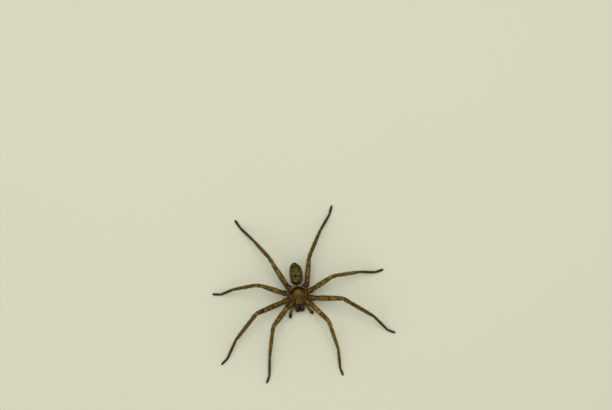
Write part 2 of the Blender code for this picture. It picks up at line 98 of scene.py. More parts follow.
# Colours
COAT_GAIN = np.array([1.34, 1.33, 1.16])
ORANGE_BROWN = lin(104, 78, 32)
BROWN = lin(86, 66, 28)
DARK_BROWN = lin(50, 38, 18)
NEAR_BLACK = lin(24, 19, 11)
YELLOW_BROWN = lin(128, 106, 42)
CREAM = lin(202, 188, 134)
RUST = lin(98, 74, 40)
OLIVE = lin(84, 75, 38)
PALE_OLIVE = lin(116, 105, 66)
DARK_OLIVE = lin(42, 36, 18)
BELLY = lin(112, 100, 62)
STERNUM_BROWN = lin(112, 86, 44)
SPINE_BROWN = lin(32, 24, 14)
FRINGE_ORANGE = lin(112, 56, 22)
TAN = lin(140, 118, 62)
GOLD = lin(124, 103, 50)
PALE_PINK = lin(150, 120, 84)


# Each pair of legs: where the coxa leaves the body and points, and the length of each segment
LEG_PAIRS = {
    1: {"place": 50, "swing": 30, "coxa": 4.4, "lengths": (12.7, 3.5, 13.0, 10.8, 3.8), "girth": 1.0},
    2: {"place": 17, "swing": 15, "coxa": 4.2, "lengths": (16.2, 3.9, 14.4, 11.9, 4.0), "girth": 1.05},
    3: {"place": -17, "swing": -13, "coxa": 4.3, "lengths": (12.7, 3.1, 12.0, 8.9, 4.0), "girth": 0.97},
    4: {"place": -52, "swing": -36, "coxa": 3.9, "lengths": (14.6, 3.0, 12.4, 10.6, 4.4), "girth": 1.0},
}

# The pose of each leg in degrees, as in the solids, and how light its colours are beside the others':
# partly each leg's own tone and partly painted light for how brightly each leg is lit
LEG_POSES = {
    ("right", 1): {"swings": (45.5, 74, 76.5, 81.5, 63), "slopes": (19, 4.5, -17.5), "shade": 1.06},
    ("left", 1): {"swings": (49.5, 76.5, 78.5, 91, 75), "slopes": (21, 8.5, -23), "shade": 1.25},
    ("right", 2): {"swings": (14.5, 45.5, 45.5, 58.5, 37.5), "slopes": (20.5, 7, -23), "shade": 0.8},
    ("left", 2): {"swings": (6, 38, 38, 52.5, 29), "slopes": (20, 5.5, -16), "shade": 0.88},
    ("right", 3): {"swings": (-27, -13, 5, 17.5, -9.5), "slopes": (23, 4, -19), "shade": 0.97},
    ("left", 3): {"swings": (-27.5, -8, 0, 10.5, -13), "slopes": (19, 6.5, -21.5), "shade": 1.0},
    ("right", 4): {"swings": (-65.5, -67.5, -53.5, -49, -62), "slopes": (19.5, 7, -21.5), "shade": 0.94},
    ("left", 4): {"swings": (-78.5, -63.5, -59.5, -52.5, -67.5), "slopes": (23, 5, -19), "shade": 0.86},
}
PALP_LENGTHS = (2.8, 1.3, 1.7, 3.3)
PALP_SWINGS = {"right": (58, 62, 70, 77), "left": (56, 58, 60, 62)}
PALP_SLOPES = {"right": (60, 15, -50, -37), "left": (60, 15, -52, -50)}

# Sections along a leg and a palp: the place, counted in segments from the root, half the width and
# half the height. A leg's segments are coxa, femur, patella, tibia, metatarsus and tarsus.
LEG_SHAPE = (
    (-0.14, 0.60, 0.60), (0.00, 0.70, 0.70), (0.15, 0.90, 0.88), (0.42, 1.03, 1.02), (0.66, 1.07, 1.05),
    (0.80, 1.00, 0.98), (1.00, 1.12, 1.08), (1.07, 1.10, 1.08), (1.18, 1.23, 1.22), (1.38, 1.32, 1.33),
    (1.62, 1.27, 1.27), (1.84, 1.10, 1.08), (2.00, 0.97, 0.95), (2.45, 1.04, 1.02), (2.99, 0.92, 0.91),
    (3.02, 0.90, 0.89), (3.16, 0.98, 0.97), (3.50, 0.93, 0.92), (3.84, 0.81, 0.80), (3.99, 0.74, 0.73),
    (4.02, 0.70, 0.69), (4.10, 0.70, 0.69), (4.45, 0.65, 0.64), (4.88, 0.56, 0.55), (4.99, 0.55, 0.52),
    (5.02, 0.50, 0.50), (5.25, 0.54, 0.54), (5.60, 0.56, 0.55), (5.88, 0.52, 0.50), (5.96, 0.42, 0.40),
    (6.00, 0.30, 0.28),
)
THICK_SEGMENTS = 4

# A leg's colour at places along it, and its dark rings: the place, half the width and the strength
LEG_COLOURS = (
    (-0.2, lin(86, 68, 31)), (0.9, lin(92, 72, 31)), (1.5, lin(97, 80, 30)), (2.0, lin(91, 72, 30)),
    (2.5, lin(86, 69, 27)), (3.5, lin(91, 75, 28)), (4.0, lin(81, 65, 26)), (4.5, lin(69, 55, 23)),
    (5.0, lin(63, 51, 22)), (6.0, lin(60, 50, 23)),
)
LEG_BANDS = (
    (0.40, 0.10, 0.4), (0.92, 0.08, 0.6), (1.12, 0.03, 0.75), (1.24, 0.018, 0.5), (1.33, 0.025, 0.65),
    (1.46, 0.02, 0.45), (1.57, 0.03, 0.65), (1.70, 0.02, 0.5), (1.81, 0.04, 0.8), (2.35, 0.12, 0.5),
    (3.10, 0.045, 0.6), (3.30, 0.02, 0.35), (3.48, 0.04, 0.45), (3.66, 0.02, 0.35), (3.86, 0.045, 0.6),
    (4.08, 0.04, 0.5), (4.50, 0.05, 0.35),
)

# Pale spots on the upper side of a leg: the place, the turn across it and the strength
PALE_SPOTS = (
    (0.35, 0, 0.45), (0.62, 25, 0.4), (0.97, -20, 0.35), (1.40, 15, 0.5), (1.93, 15, 0.75), (2.02, -30, 0.65),
)
PALP_SHAPE = (
    (0.00, 0.40, 0.38), (0.50, 0.46, 0.44), (1.00, 0.50, 0.50), (1.45, 0.63, 0.63), (2.00, 0.66, 0.64),
    (2.50, 0.76, 0.72), (3.00, 0.70, 0.66), (3.50, 0.78, 0.72), (4.00, 0.70, 0.66), (4.20, 0.83, 0.78),
    (4.52, 0.84, 0.78), (4.80, 0.68, 0.63), (4.93, 0.45, 0.43), (5.00, 0.20, 0.20),
)

# Joints: the place, how deep the soft neck there is and how far along the leg it runs, in mm
LEG_NECKS = ((0.80, 0.10, 0.15), (1.0, 0.11, 0.16), (2.0, 0.20, 0.22), (3.0, 0.11, 0.16), (4.0, 0.17, 0.20),
             (5.0, 0.15, 0.17))
PALP_NECKS = ((1.0, 0.10, 0.10), (2.0, 0.16, 0.12), (3.0, 0.12, 0.11), (4.0, 0.16, 0.13))

# Spines: the place along the leg, the turn round it, 0 on top and positive on the head's side, and
# the length. The first ones stand where the solids have theirs.
SPINES = (
    (1.38, 12, 1.5), (1.62, -12, 1.6), (1.86, 8, 1.5), (1.70, 72, 1.5), (1.72, -72, 1.5),
    (1.34, 66, 1.4), (1.40, -64, 1.4), (1.90, 62, 1.3), (1.92, -58, 1.3), (2.50, 84, 1.0), (2.55, -84, 1.0),
    (3.18, 150, 2.1), (3.18, -150, 2.1), (3.50, 150, 2.1), (3.50, -150, 2.1), (3.84, 150, 1.8),
    (3.84, -150, 1.8), (3.36, 82, 1.9), (3.68, -82, 1.9), (3.70, 80, 1.8), (3.34, -80, 1.8), (3.22, 6, 1.4),
    (4.13, 145, 1.7), (4.13, -145, 1.7), (4.42, 140, 1.4), (4.42, -140, 1.4), (4.16, 78, 1.5),
    (4.18, -76, 1.5), (4.50, 74, 1.3), (4.52, -74, 1.3),
)

LEG_STEP = 0.16
LEG_SIDES = 28
BODY_SIDES = 120


def unit(vectors):
    return vectors / np.maximum(np.linalg.norm(vectors, axis=-1, keepdims=True), 1e-9)


def eased(table, t, column=1):
    """Values read from a table of places and values, eased so that the curve has no corners."""
    rows = np.array(table, float)
    places, values = rows[:, 0], rows[:, column]
    i = np.clip(np.searchsorted(places, t) - 1, 0, len(places) - 2)
    before, after = np.maximum(i - 1, 0), np.minimum(i + 2, len(places) - 1)
    span = places[i + 1] - places[i]
    share = (t - places[i]) / span
    rise = (values[i + 1] - values[before]) / (places[i + 1] - places[before]) * span
    fall = (values[after] - values[i]) / (places[after] - places[i]) * span
    a, b = share**2, share**3
    return (
        (2 * b - 3 * a + 1) * values[i] + (b - 2 * a + share) * rise
        + (3 * a - 2 * b) * values[i + 1] + (b - a) * fall
    )


def bump(distance):
    """1 at no distance, falling smoothly to 0 past a distance of about 2."""
    return np.exp(-np.square(distance))


def step(value, low, high):
    """0 below low and 1 above high, with a smooth rise between them."""
    share = np.clip((value - low) / (high - low), 0, 1)
    return share * share * (3 - 2 * share)


def mixed(base, colour, mask):
    """The base colours, turned to another colour by the mask's share."""
    return base + (colour - base) * np.clip(mask, 0, 1)[..., None]


def waves(points, size, seed):
    """Smooth noise of about -1 to 1 over points, with blotches about size millimetres apart."""
    draw = np.random.default_rng(seed)
    total = np.zeros(points.shape[:-1])
    count = 20
    for _ in range(count):
        heading = unit(draw.normal(size=3))
        turns = 2 * math.pi / (size * draw.uniform(0.7, 1.8))
        total += np.sin(points @ (heading * turns) + draw.uniform(0, 2 * math.pi))
    return total / math.sqrt(count)


def smoothed(rows, reach):
    """Rows of a path or a profile, averaged over their neighbours with the ends kept."""
    offsets = np.arange(-3 * reach, 3 * reach + 1)
    weights = np.exp(-0.5 * (offsets / reach) ** 2)
    weights /= weights.sum()
    table = rows.reshape(len(rows), -1)
    pad = 3 * reach
    before = 2 * table[0] - table[pad:0:-1]
    after = 2 * table[-1] - table[-2:-pad - 2:-1]
    padded = np.concatenate([before, table, after])
    made = np.stack([np.convolve(column, weights, "valid") for column in padded.T], 1)
    return made.reshape(rows.shape)


def direction(side, swing, slope):
    """A unit vector out from the body: side is 1 for the left legs and -1 for the right ones."""
    swing, slope = math.radians(swing), math.radians(slope)
    flat = math.cos(slope)
    return np.array([side * flat * math.cos(swing), -flat * math.sin(swing), math.sin(slope)])


def side_sign(side):
    return 1 if side == "left" else -1


def upright_axes(along):
    """The level axes across a path, and the ones that point up from it."""
    across = unit(np.cross(along, np.array([0.0, 0.0, 1.0])))
    return across, np.cross(across, along)


def ring_angles(sides):
    return 2 * math.pi * (np.arange(sides) + 0.5) / sides


class Surface:
    """A grid of points, rings by sides, closed round each ring, and the coat's map over it."""

    def __init__(self, points, tint):
        self.points, self.tint = points, tint
        round_it = np.roll(points, -1, 1) - np.roll(points, 1, 1)
        self.along = unit(np.gradient(points, axis=0))
        normals = unit(np.cross(self.along, round_it))
        outward = points - points.mean(1, keepdims=True)
        self.normals = normals if (normals * outward).sum() > 0 else -normals

    def read(self, grid, i, j, a, b):
        """A grid's values at shares a and b across the cells i and j."""
        k = (j + 1) % grid.shape[1]
        a, b = (a[:, None], b[:, None]) if grid.ndim == 3 else (a, b)
        near = grid[i, j] * (1 - b) + grid[i, k] * b
        far = grid[i + 1, j] * (1 - b) + grid[i + 1, k] * b
        return near * (1 - a) + far * a

    def scatter(self, count, draw, weight):
        """Random roots over the surface, as many for each area as the weight says."""
        p = self.points
        across = (np.roll(p, -1, 1) - p)[:-1]
        down = (p[1:] - p[:-1])
        area = np.linalg.norm(np.cross(across, down), axis=-1)
        share = (area * weight[:-1]).ravel()
        cell = draw.choice(share.size, count, p=share / share.sum())
        i, j = np.divmod(cell, p.shape[1])
        return i, j, draw.random(count), draw.random(count)


def mesh_object(name, points, polygons, material, tint=None, uv=None, smooth=True):
    """A mesh from arrays: points in millimetres, and one array of corners for each kind of polygon."""
    mesh = bpy.data.meshes.new(name)
    corners = np.concatenate([p.ravel() for p in polygons]).astype(np.int32)
    totals = np.concatenate([np.full(len(p), p.shape[1]) for p in polygons])
    starts = np.concatenate([[0], np.cumsum(totals)[:-1]]).astype(np.int32)
    mesh.vertices.add(len(points))
    mesh.vertices.foreach_set("co", ((points + MIDDLE) * MM).astype(np.float32).ravel())
    mesh.loops.add(len(corners))
    mesh.loops.foreach_set("vertex_index", corners)
    mesh.polygons.add(len(totals))
    mesh.polygons.foreach_set("loop_start", starts)
    mesh.update(calc_edges=True)
    mesh.validate()
    if tint is not None:
        colours = np.concatenate([tint, np.ones((len(tint), 1))], 1).astype(np.float32)
        mesh.attributes.new("tint", "FLOAT_COLOR", "POINT").data.foreach_set("color", colours.ravel())
    if uv is not None:
        mesh.uv_layers.new(name="OFBake").data.foreach_set("uv", uv[corners].astype(np.float32).ravel())
    mesh.polygons.foreach_set("use_smooth", np.full(len(totals), smooth))
    mesh.materials.append(material)
    obj = bpy.data.objects.new(name, mesh)
    bpy.context.scene.collection.objects.link(obj)
    return obj


def finished(obj, slot, *nodes):
    """Hands a piece to the frame: it rides on the one body and stands for these nodes."""
    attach(obj, "root")
    if nodes:
        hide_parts(*nodes)
    return obj


def grid_faces(rings, sides, first=0):
    """Quads between rings and a fan at each end, whose middle points follow the rings."""
    index = first + np.arange(rings * sides).reshape(rings, sides)
    turned = np.roll(index, -1, 1)
    quads = np.stack([index[:-1], index[1:], turned[1:], turned[:-1]], -1).reshape(-1, 4)
    start, end = first + rings * sides, first + rings * sides + 1
    near = np.stack([np.full(sides, start), index[0], turned[0]], -1)
    far = np.stack([np.full(sides, end), turned[-1], index[-1]], -1)
    return quads, np.concatenate([near, far])


def skin_arrays(surfaces):
    """The points, colours and faces of one or more closed surfaces."""
    points, tints, quads, fans, first = [], [], [], [], 0
    for surface in surfaces:
        rings, sides = surface.points.shape[:2]
        flat = surface.points.reshape(-1, 3)
        ends = np.stack([surface.points[0].mean(0), surface.points[-1].mean(0)])
        end_tints = np.stack([surface.tint[0].mean(0), surface.tint[-1].mean(0)])
        made_quads, made_fans = grid_faces(rings, sides, first)
        whole = np.concatenate([flat, ends])
        a, b, c = (whole[made_quads[:, k] - first] for k in (0, 1, 2))
        if np.einsum("ij,ij->", a, np.cross(b, c)) < 0:
            made_quads, made_fans = made_quads[:, ::-1], made_fans[:, ::-1]
        points.append(whole)
        tints.append(np.concatenate([surface.tint.reshape(-1, 3), end_tints]))
        quads.append(made_quads)
        fans.append(made_fans)
        first += len(whole)
    return np.concatenate(points), np.concatenate(tints), [np.concatenate(quads), np.concatenate(fans)]


def skin(name, material, slot, surfaces, *nodes):
    points, tint, polygons = skin_arrays(surfaces)
    return finished(mesh_object(name, points, polygons, material, tint), slot, *nodes)


def shafts(roots, start, end, normal, length, radius, sides, rings, taper=0.6):
    """Closed tapered shafts that bend from one heading to another, as points and polygons."""
    count = len(roots)
    side = unit(np.cross(start, normal))
    levels = []
    for t in np.arange(rings) / rings:
        middle = roots + (start * t + (end - start) * t * t / 2) * length[:, None]
        up = unit(np.cross(side, start + (end - start) * t))
        thick = (radius * (1 - t) ** taper)[:, None]
        for angle in ring_angles(sides):
            levels.append(middle + (side * math.cos(angle) + up * math.sin(angle)) * thick)
    levels.append(roots + (start + end) / 2 * length[:, None])
    points = np.stack(levels, 1)
    index = np.arange(rings * sides).reshape(rings, sides)
    turned = np.roll(index, -1, 1)
    tip = rings * sides
    quads = np.stack([index[:-1], turned[:-1], turned[1:], index[1:]], -1).reshape(-1, 4)
    point = np.stack([index[-1], turned[-1], np.full(sides, tip)], -1)
    base = index[0][::-1][None]
    first = (np.arange(count) * (tip + 1))[:, None, None]
    polygons = [(p[None] + first).reshape(-1, p.shape[1]) for p in (quads, point, base)]
    reach = 1 - 0.5 * np.arange(rings) / rings
    turn = np.tile(ring_angles(sides), rings)
    spread = np.repeat(reach, sides)
    layout = np.stack([np.cos(turn) * spread, np.sin(turn) * spread], 1) * PATCH
    layout = np.concatenate([layout, np.zeros((1, 2))])
    return points, polygons, layout


def hairs(surface, count, seed, length, width=0.036, lift=(10, 28), droop=14, stray=14, weight=None,
          lie=None, colour=None, share=0.0, sides=3, rings=2, shade=(0.75, 1.3)):
    """Hairs rooted on a surface: they follow the lie, stand up by lift and droop towards their tips.
    A share of them has the other colour, and the rest the colour of the skin they stand on."""
    draw = np.random.default_rng(seed)
    weight = np.ones(surface.points.shape[:2]) if weight is None else weight
    i, j, a, b = surface.scatter(count, draw, weight)
    roots = surface.read(surface.points, i, j, a, b)
    normal = unit(surface.read(surface.normals, i, j, a, b))
    flow = surface.read(surface.along if lie is None else lie, i, j, a, b)
    flow = unit(flow - normal * (flow * normal).sum(1, keepdims=True))
    turn = np.radians(draw.normal(0, stray, count))[:, None]
    flow = flow * np.cos(turn) + np.cross(normal, flow) * np.sin(turn)
    rise = np.radians(draw.uniform(*lift, count))[:, None]
    fall = rise - math.radians(droop)
    start = flow * np.cos(rise) + normal * np.sin(rise)
    end = flow * np.cos(fall) + normal * np.sin(fall)
    longs = draw.uniform(*length, count)
    thick = width / 2 * draw.uniform(0.8, 1.2, count)
    points, polygons, layout = shafts(roots - normal * SUNK, start, end, normal, longs, thick, sides, rings)
    points[..., 2] = np.maximum(points[..., 2], LEAST_Z)
    tint = surface.read(surface.tint, i, j, a, b)
    if colour is not None:
        tint = np.where((draw.random(count) < share)[:, None], colour, tint)
    tint = tint * draw.uniform(*shade, count)[:, None]
    place_on_map = np.stack([
        (i + a) / (surface.points.shape[0] - 1),
        (j + b) / surface.points.shape[1],
    ], 1)
    place_on_map = 2 * PATCH + place_on_map * (1 - 4 * PATCH)
    uv = place_on_map[:, None] + layout[None]
    return points, polygons, np.repeat(tint[:, None], points.shape[1], 1), uv


def coat(name, material, slot, batches):
    """One joined mesh of several batches of hairs."""
    points, tints, maps, kinds, first = [], [], [], {}, 0
    for made, polygons, tint, uv in batches:
        for polygon in polygons:
            kinds.setdefault(polygon.shape[1], []).append(polygon + first)
        flat = made.reshape(-1, 3)
        points.append(flat)
        tints.append(tint.reshape(-1, 3))
        maps.append(uv.reshape(-1, 2))
        first += len(flat)
    joined = [np.concatenate(kinds[k]) for k in sorted(kinds)]
    arrays = [np.concatenate(a) for a in (points, tints, maps)]
    return finished(mesh_object(name, arrays[0], joined, material, arrays[1], arrays[2]), slot)


def node_material(name, roughness, rough_spread, bump_size, bump_depth, mottle, specular=0.5):
    """A material whose colour is the tint, broken up by fine mottling, with grain in its relief."""
    made = bpy.data.materials.new(name)
    made.use_nodes = True
    nodes, links = made.node_tree.nodes, made.node_tree.links
    shader = nodes["Principled BSDF"]
    shader.inputs["Specular IOR Level"].default_value = specular
    where = nodes.new("ShaderNodeTexCoord")
    tint = nodes.new("ShaderNodeAttribute")
    tint.attribute_name = "tint"

    grain = nodes.new("ShaderNodeTexNoise")
    grain.inputs["Scale"].default_value = 1 / (bump_size * MM)
    grain.inputs["Detail"].default_value = 3.0
    links.new(where.outputs["Object"], grain.inputs["Vector"])

    patches = nodes.new("ShaderNodeTexNoise")
    patches.inputs["Scale"].default_value = 1 / (1.1 * MM)
    patches.inputs["Detail"].default_value = 2.0
    links.new(where.outputs["Object"], patches.inputs["Vector"])

    strength = nodes.new("ShaderNodeMapRange")
    strength.inputs["From Min"].default_value = 0.3
    strength.inputs["From Max"].default_value = 0.7
    strength.inputs["To Min"].default_value = 1 - mottle
    strength.inputs["To Max"].default_value = 1 + mottle
    links.new(patches.outputs["Fac"], strength.inputs["Value"])
    shaded = nodes.new("ShaderNodeVectorMath")
    shaded.operation = "SCALE"
    links.new(tint.outputs["Color"], shaded.inputs["Vector"])
    links.new(strength.outputs["Result"], shaded.inputs["Scale"])
    links.new(shaded.outputs["Vector"], shader.inputs["Base Color"])

    gloss = nodes.new("ShaderNodeMapRange")
    gloss.inputs["From Min"].default_value = 0.3
    gloss.inputs["From Max"].default_value = 0.7
    gloss.inputs["To Min"].default_value = roughness - rough_spread
    gloss.inputs["To Max"].default_value = roughness + rough_spread
    links.new(grain.outputs["Fac"], gloss.inputs["Value"])
    links.new(gloss.outputs["Result"], shader.inputs["Roughness"])

    relief = nodes.new("ShaderNodeBump")
    relief.inputs["Strength"].default_value = 0.6
    relief.inputs["Distance"].default_value = bump_depth * MM
    links.new(grain.outputs["Fac"], relief.inputs["Height"])
    links.new(relief.outputs["Normal"], shader.inputs["Normal"])
    return made


def glossy_material(name, colour, second, roughness, size, coat_weight=0.0):
    """A hard material of two colours that run into one another, for eyes, fangs and claws."""
    made = bpy.data.materials.new(name)
    made.use_nodes = True
    nodes, links = made.node_tree.nodes, made.node_tree.links
    shader = nodes["Principled BSDF"]
    shader.inputs["Coat Weight"].default_value = coat_weight
    shader.inputs["Specular IOR Level"].default_value = 0.3
    where = nodes.new("ShaderNodeTexCoord")
    noise = nodes.new("ShaderNodeTexNoise")
    noise.inputs["Scale"].default_value = 1 / (size * MM)
    ramp = nodes.new("ShaderNodeValToRGB")
    ramp.color_ramp.elements[0].position = 0.35
    ramp.color_ramp.elements[1].position = 0.65
    ramp.color_ramp.elements[0].color = (*colour, 1)
    ramp.color_ramp.elements[1].color = (*second, 1)
    links.new(where.outputs["Object"], noise.inputs["Vector"])
    links.new(noise.outputs["Fac"], ramp.inputs["Fac"])
    links.new(ramp.outputs["Color"], shader.inputs["Base Color"])
    gloss = nodes.new("ShaderNodeMapRange")
    gloss.inputs["To Min"].default_value = roughness * 0.8
    gloss.inputs["To Max"].default_value = roughness * 1.3
    links.new(noise.outputs["Fac"], gloss.inputs["Value"])
    links.new(gloss.outputs["Result"], shader.inputs["Roughness"])
    return made


def chain(start, lengths, headings):
    joints = [np.array(start, float)]
    for length, heading in zip(lengths, headings):
        joints.append(joints[-1] + heading * length)
    return joints


def leg_joints(side, pair):
    """The joints of one leg, from the side of the body to the tip of the tarsus."""
    data, pose, sign = LEG_PAIRS[pair], LEG_POSES[(side, pair)], side_sign(side)
    place = math.radians(data["place"])
    root = (
        sign * (CORE_HALF_WIDTH + GAP) * math.cos(place),
        -(CORE_HALF_LENGTH + GAP) * math.sin(place),
        COXA_Z,
    )
    headings = [direction(sign, data["swing"], COXA_SLOPE)]
    headings += [direction(sign, swing, slope) for swing, slope in zip(pose["swings"], pose["slopes"])]
    joints = chain(root, (data["coxa"], *data["lengths"][:3]), headings)
    for i, end_z in ((3, TARSUS_START_Z), (4, TARSUS_TIP_Z)):
        length = data["lengths"][i]
        slope = -math.degrees(math.asin((joints[-1][2] - end_z) / length))
        joints.append(joints[-1] + direction(sign, pose["swings"][i], slope) * length)
    return joints


class Limb:
    """The path of a leg or palp, with its axes and its size at each place along it."""

    def __init__(self, joints, shape, necks, bows, girths, step_mm, before=0.0):
        places, points = [], []
        for i, (a, b) in enumerate(zip(joints, joints[1:])):
            count = max(4, round(float(np.linalg.norm(b - a)) / step_mm))
            shares = np.arange(count) / count
            if i == 0 and before:
                shares = np.concatenate([np.arange(-before, 0, 1 / count), shares])
            up = upright_axes(unit(b - a))[1]
            arch = (bows.get(i, 0.0) * 4 * shares * (1 - shares))[:, None]
            points.append(a + (b - a) * shares[:, None] + up * np.maximum(arch, 0))
            places.append(i + shares)
        self.place = np.append(np.concatenate(places), len(joints) - 1)
        self.centre = smoothed(np.concatenate([*points, [joints[-1]]]), 3)
        self.along = unit(np.gradient(self.centre, axis=0))
        self.across, self.up = upright_axes(self.along)
        gaps = np.linalg.norm(np.diff(self.centre, axis=0), axis=1)
        self.length = np.concatenate([[0], np.cumsum(gaps)])
        rows = np.array(shape)
        girth = np.interp(self.place, *girths)
        pinch = np.ones(len(self.place))
        self.membrane = np.zeros(len(self.place))
        for place, depth, reach in necks:
            away = (self.length - np.interp(place, self.place, self.length)) / reach
            pinch += depth * (0.22 * bump((away + 2.0) / 0.8) - bump(away))
            self.membrane = np.maximum(self.membrane, bump(away / 0.9))
        profile = [np.interp(self.place, rows[:, 0], rows[:, k]) * girth for k in (1, 2)]
        profile = smoothed(np.stack(profile, 1), 2) - SKIN_DEPTH
        self.half = profile * pinch[:, None]

    def at(self, grid, place):
        """A row of values along the path, read at one place."""
        return np.stack([np.interp(place, self.place, column) for column in grid.reshape(len(grid), -1).T], -1)

    def rings(self, sides, round_off):
        """Points round the path. The tip is rounded over the last round_off millimetres."""
        left = np.clip((self.length[-1] - self.length) / round_off, 0, 1)
        close = np.sqrt(np.clip(1 - (1 - left) ** 2, 0.02, 1))
        angles = ring_angles(sides)
        half = self.half * close[:, None]
        level = self.across[:, None] * (half[:, :1] * np.cos(angles))[..., None]
        upright = self.up[:, None] * (half[:, 1:] * np.sin(angles))[..., None]
        return self.centre[:, None] + level + upright, angles


def leg_tint(points, limb, angles, seed, dots):
    """The colours of a leg: brown mottled in rings, with dark sides that are partly dark stripes and partly painted
    shade, painted shade underneath and a golden line down the femur.
    """
    shape = points.shape[:2]
    place = np.broadcast_to(limb.place[:, None], shape)
    top, level = (np.broadcast_to(turn[None], shape) for turn in (np.sin(angles), np.cos(angles)))
    where = [stop[0] for stop in LEG_COLOURS]
    tint = np.stack([np.interp(place, where, [stop[1][k] for stop in LEG_COLOURS]) for k in range(3)], -1)
    draw = np.random.default_rng(seed)
    unrolled = np.stack([limb.length[:, None] + 0 * top, 0.55 * level, 0.55 * top], -1)
    rings, blotch, fine = waves(unrolled, 1.25, seed), waves(points, 1.1, seed + 1), waves(points, 0.5, seed + 2)
    thick, femur = 1 - step(place, 3.6, 4.4), 1 - step(place, 2.2, 3.2)
    gold = step(top, 0.5, 0.95) * step(place, 1.0, 1.2) * (1 - step(place, 1.9, 2.3))
    tint = mixed(tint, GOLD, gold * (0.1 + 0.6 * step(-rings + 0.6 * blotch, 0.2, 0.8)))
    # Dark sides: partly dark stripes, partly painted shade where the sides of the leg turn away from the light
    tint = mixed(tint, tint * 0.5, (1 - step(np.abs(top), 0.1, 0.6)) * (0.35 + 0.4 * thick) * step(place, 0.5, 1.2))
    tint = mixed(tint, DARK_BROWN * 0.6, step(rings + 0.6 * blotch + 0.4 * fine, 0.2, 0.7) * (0.3 + 0.5 * femur))
    tint = mixed(tint, TAN, step(-rings - 0.5 * blotch + 0.5 * fine, 0.7, 1.2) * step(top, 0.1, 0.7) * 0.45 * thick)
    for at, wide, strength in LEG_BANDS:
        at += draw.uniform(-0.02, 0.02)
        edge = np.abs(place - at + 0.018 * blotch) / wide
        mask = bump(edge) * strength * draw.uniform(0.5, 1.0) * (1 + 0.4 * fine) * (1 - 0.25 * gold)
        tint = mixed(tint, NEAR_BLACK, mask)
    for at, turn, strength in PALE_SPOTS:
        spot = limb.length[:, None] - np.interp(at + draw.uniform(-0.05, 0.05), limb.place, limb.length)
        around = np.abs(level - math.sin(math.radians(turn))) * 1.2 + 2 * (top < 0)
        tint = mixed(tint, PALE_PINK, bump(np.hypot(spot / 0.32, around / 0.4)) * strength)
    for root in dots:
        away = np.linalg.norm(points - root, axis=-1)
        tint = mixed(tint, NEAR_BLACK, bump(away / 0.26) * 0.8)
    tint = mixed(tint, RUST, limb.membrane[:, None] * 0.4 * (place < 4.6))
    # Painted shade: the underside of the leg is darkened for the shade beneath it
    tint = mixed(tint, tint * 0.72, step(-top, 0.2, 0.8))
    return tint * COAT_GAIN


def spine_roots(limb, sign, seed):
    """Where each spine stands on a leg, its outward and its leaning direction, and its length."""
    draw = np.random.default_rng(seed)
    made = []
    for place, turn, length in SPINES:
        centre, half = limb.at(limb.centre, place), limb.at(limb.half, place)
        along, across, up = (unit(limb.at(g, place)) for g in (limb.along, limb.across, limb.up))
        turn = math.radians(turn + draw.uniform(-6, 6))
        cos, sin = math.cos(turn), sign * math.sin(turn)
        out = unit(up * cos + across * sin)
        root = centre + up * cos * half[1] + across * sin * half[0]
        slant = math.radians(draw.uniform(40, 56))
        lean = along * math.cos(slant) + out * math.sin(slant)
        made.append((root, out, lean, along, length * draw.uniform(0.85, 1.12)))
    return made


def build_leg(side, pair, materials):
    sign, seed = side_sign(side), SEED * 100 + pair * 10 + side_sign(side)
    name = f"leg_{side}_{pair}"
    girth = LEG_PAIRS[pair]["girth"]
    girths = ((0, THICK_SEGMENTS - 0.02, THICK_SEGMENTS + 0.02, 6), (girth, girth, 1, 1))
    bows = {1: FEMUR_BOW, 3: TIBIA_BOW}
    limb = Limb(leg_joints(side, pair), LEG_SHAPE, LEG_NECKS, bows, girths, LEG_STEP, before=0.14)
    points, angles = limb.rings(LEG_SIDES, 0.35)
    points[..., 2] = np.maximum(points[..., 2], 0.05)
    spines = spine_roots(limb, sign, seed)
    # The leg's colours are scaled by its shade from LEG_POSES: partly its own tone, partly painted light for how
    # brightly it is lit
    tint = leg_tint(points, limb, angles, seed, [spine[0] for spine in spines]) * LEG_POSES[side, pair]["shade"]
    surface = Surface(points, tint)
    nodes = [f"{name}_{part}" for part in ("femur", "tibia", "metatarsus", "tarsus")]
    skin(f"{name}_skin", materials["leg"], "leg", [surface], *nodes)

    place = np.broadcast_to(limb.place[:, None], points.shape[:2])
    low = np.broadcast_to(np.sin(angles)[None] < 0.1, points.shape[:2])
    bare = 1 - 0.92 * limb.membrane[:, None]
    cover = bare * step(place, 0.0, 0.5)
    sole = cover * low * step(place, 4.0, 4.5)
    end = cover * step(place, 5.8, 5.95)
    hip = step(np.abs(np.cos(angles))[None], 0.35, 0.8) * step(place, 0.1, 0.5) * (1 - step(place, 0.9, 1.12))
    batches = [
        hairs(surface, 7700, seed + 1, (0.32, 0.58), 0.034, (8, 24), weight=cover, colour=TAN, share=0.07),
        hairs(surface, 1400, seed + 2, (0.6, 1.1), 0.028, (30, 60), 22, weight=cover * (place > 0.9),
              colour=SPINE_BROWN, share=0.45),
        hairs(surface, 1700, seed + 3, (0.28, 0.46), 0.036, (45, 75), 20, weight=sole,
              colour=DARK_BROWN, share=0.7),
        hairs(surface, 380, seed + 4, (0.32, 0.5), 0.034, (25, 60), 35, weight=end,
              colour=DARK_BROWN, share=1.0),
        hairs(surface, 950, seed + 5, (0.7, 1.2), 0.046, (35, 66), 20, weight=hip, colour=TAN, share=0.1),
    ]
    coat(f"{name}_coat", materials["hair"], "leg", batches)

    roots, outs, leans, alongs, lengths = (np.array(column) for column in zip(*spines))
    made, polygons, layout = shafts(
        roots - outs * 0.08, leans, unit(leans + alongs * 0.5), outs, lengths, np.full(len(roots), 0.062), 6, 6, 0.75
    )
    spine_tint = np.broadcast_to(SPINE_BROWN * 1.2, (made.size // 3, 3))
    piece = mesh_object(f"{name}_spines", made.reshape(-1, 3), polygons, materials["spine"], spine_tint)
    finished(piece, "leg")
    build_claws(name, limb, materials)


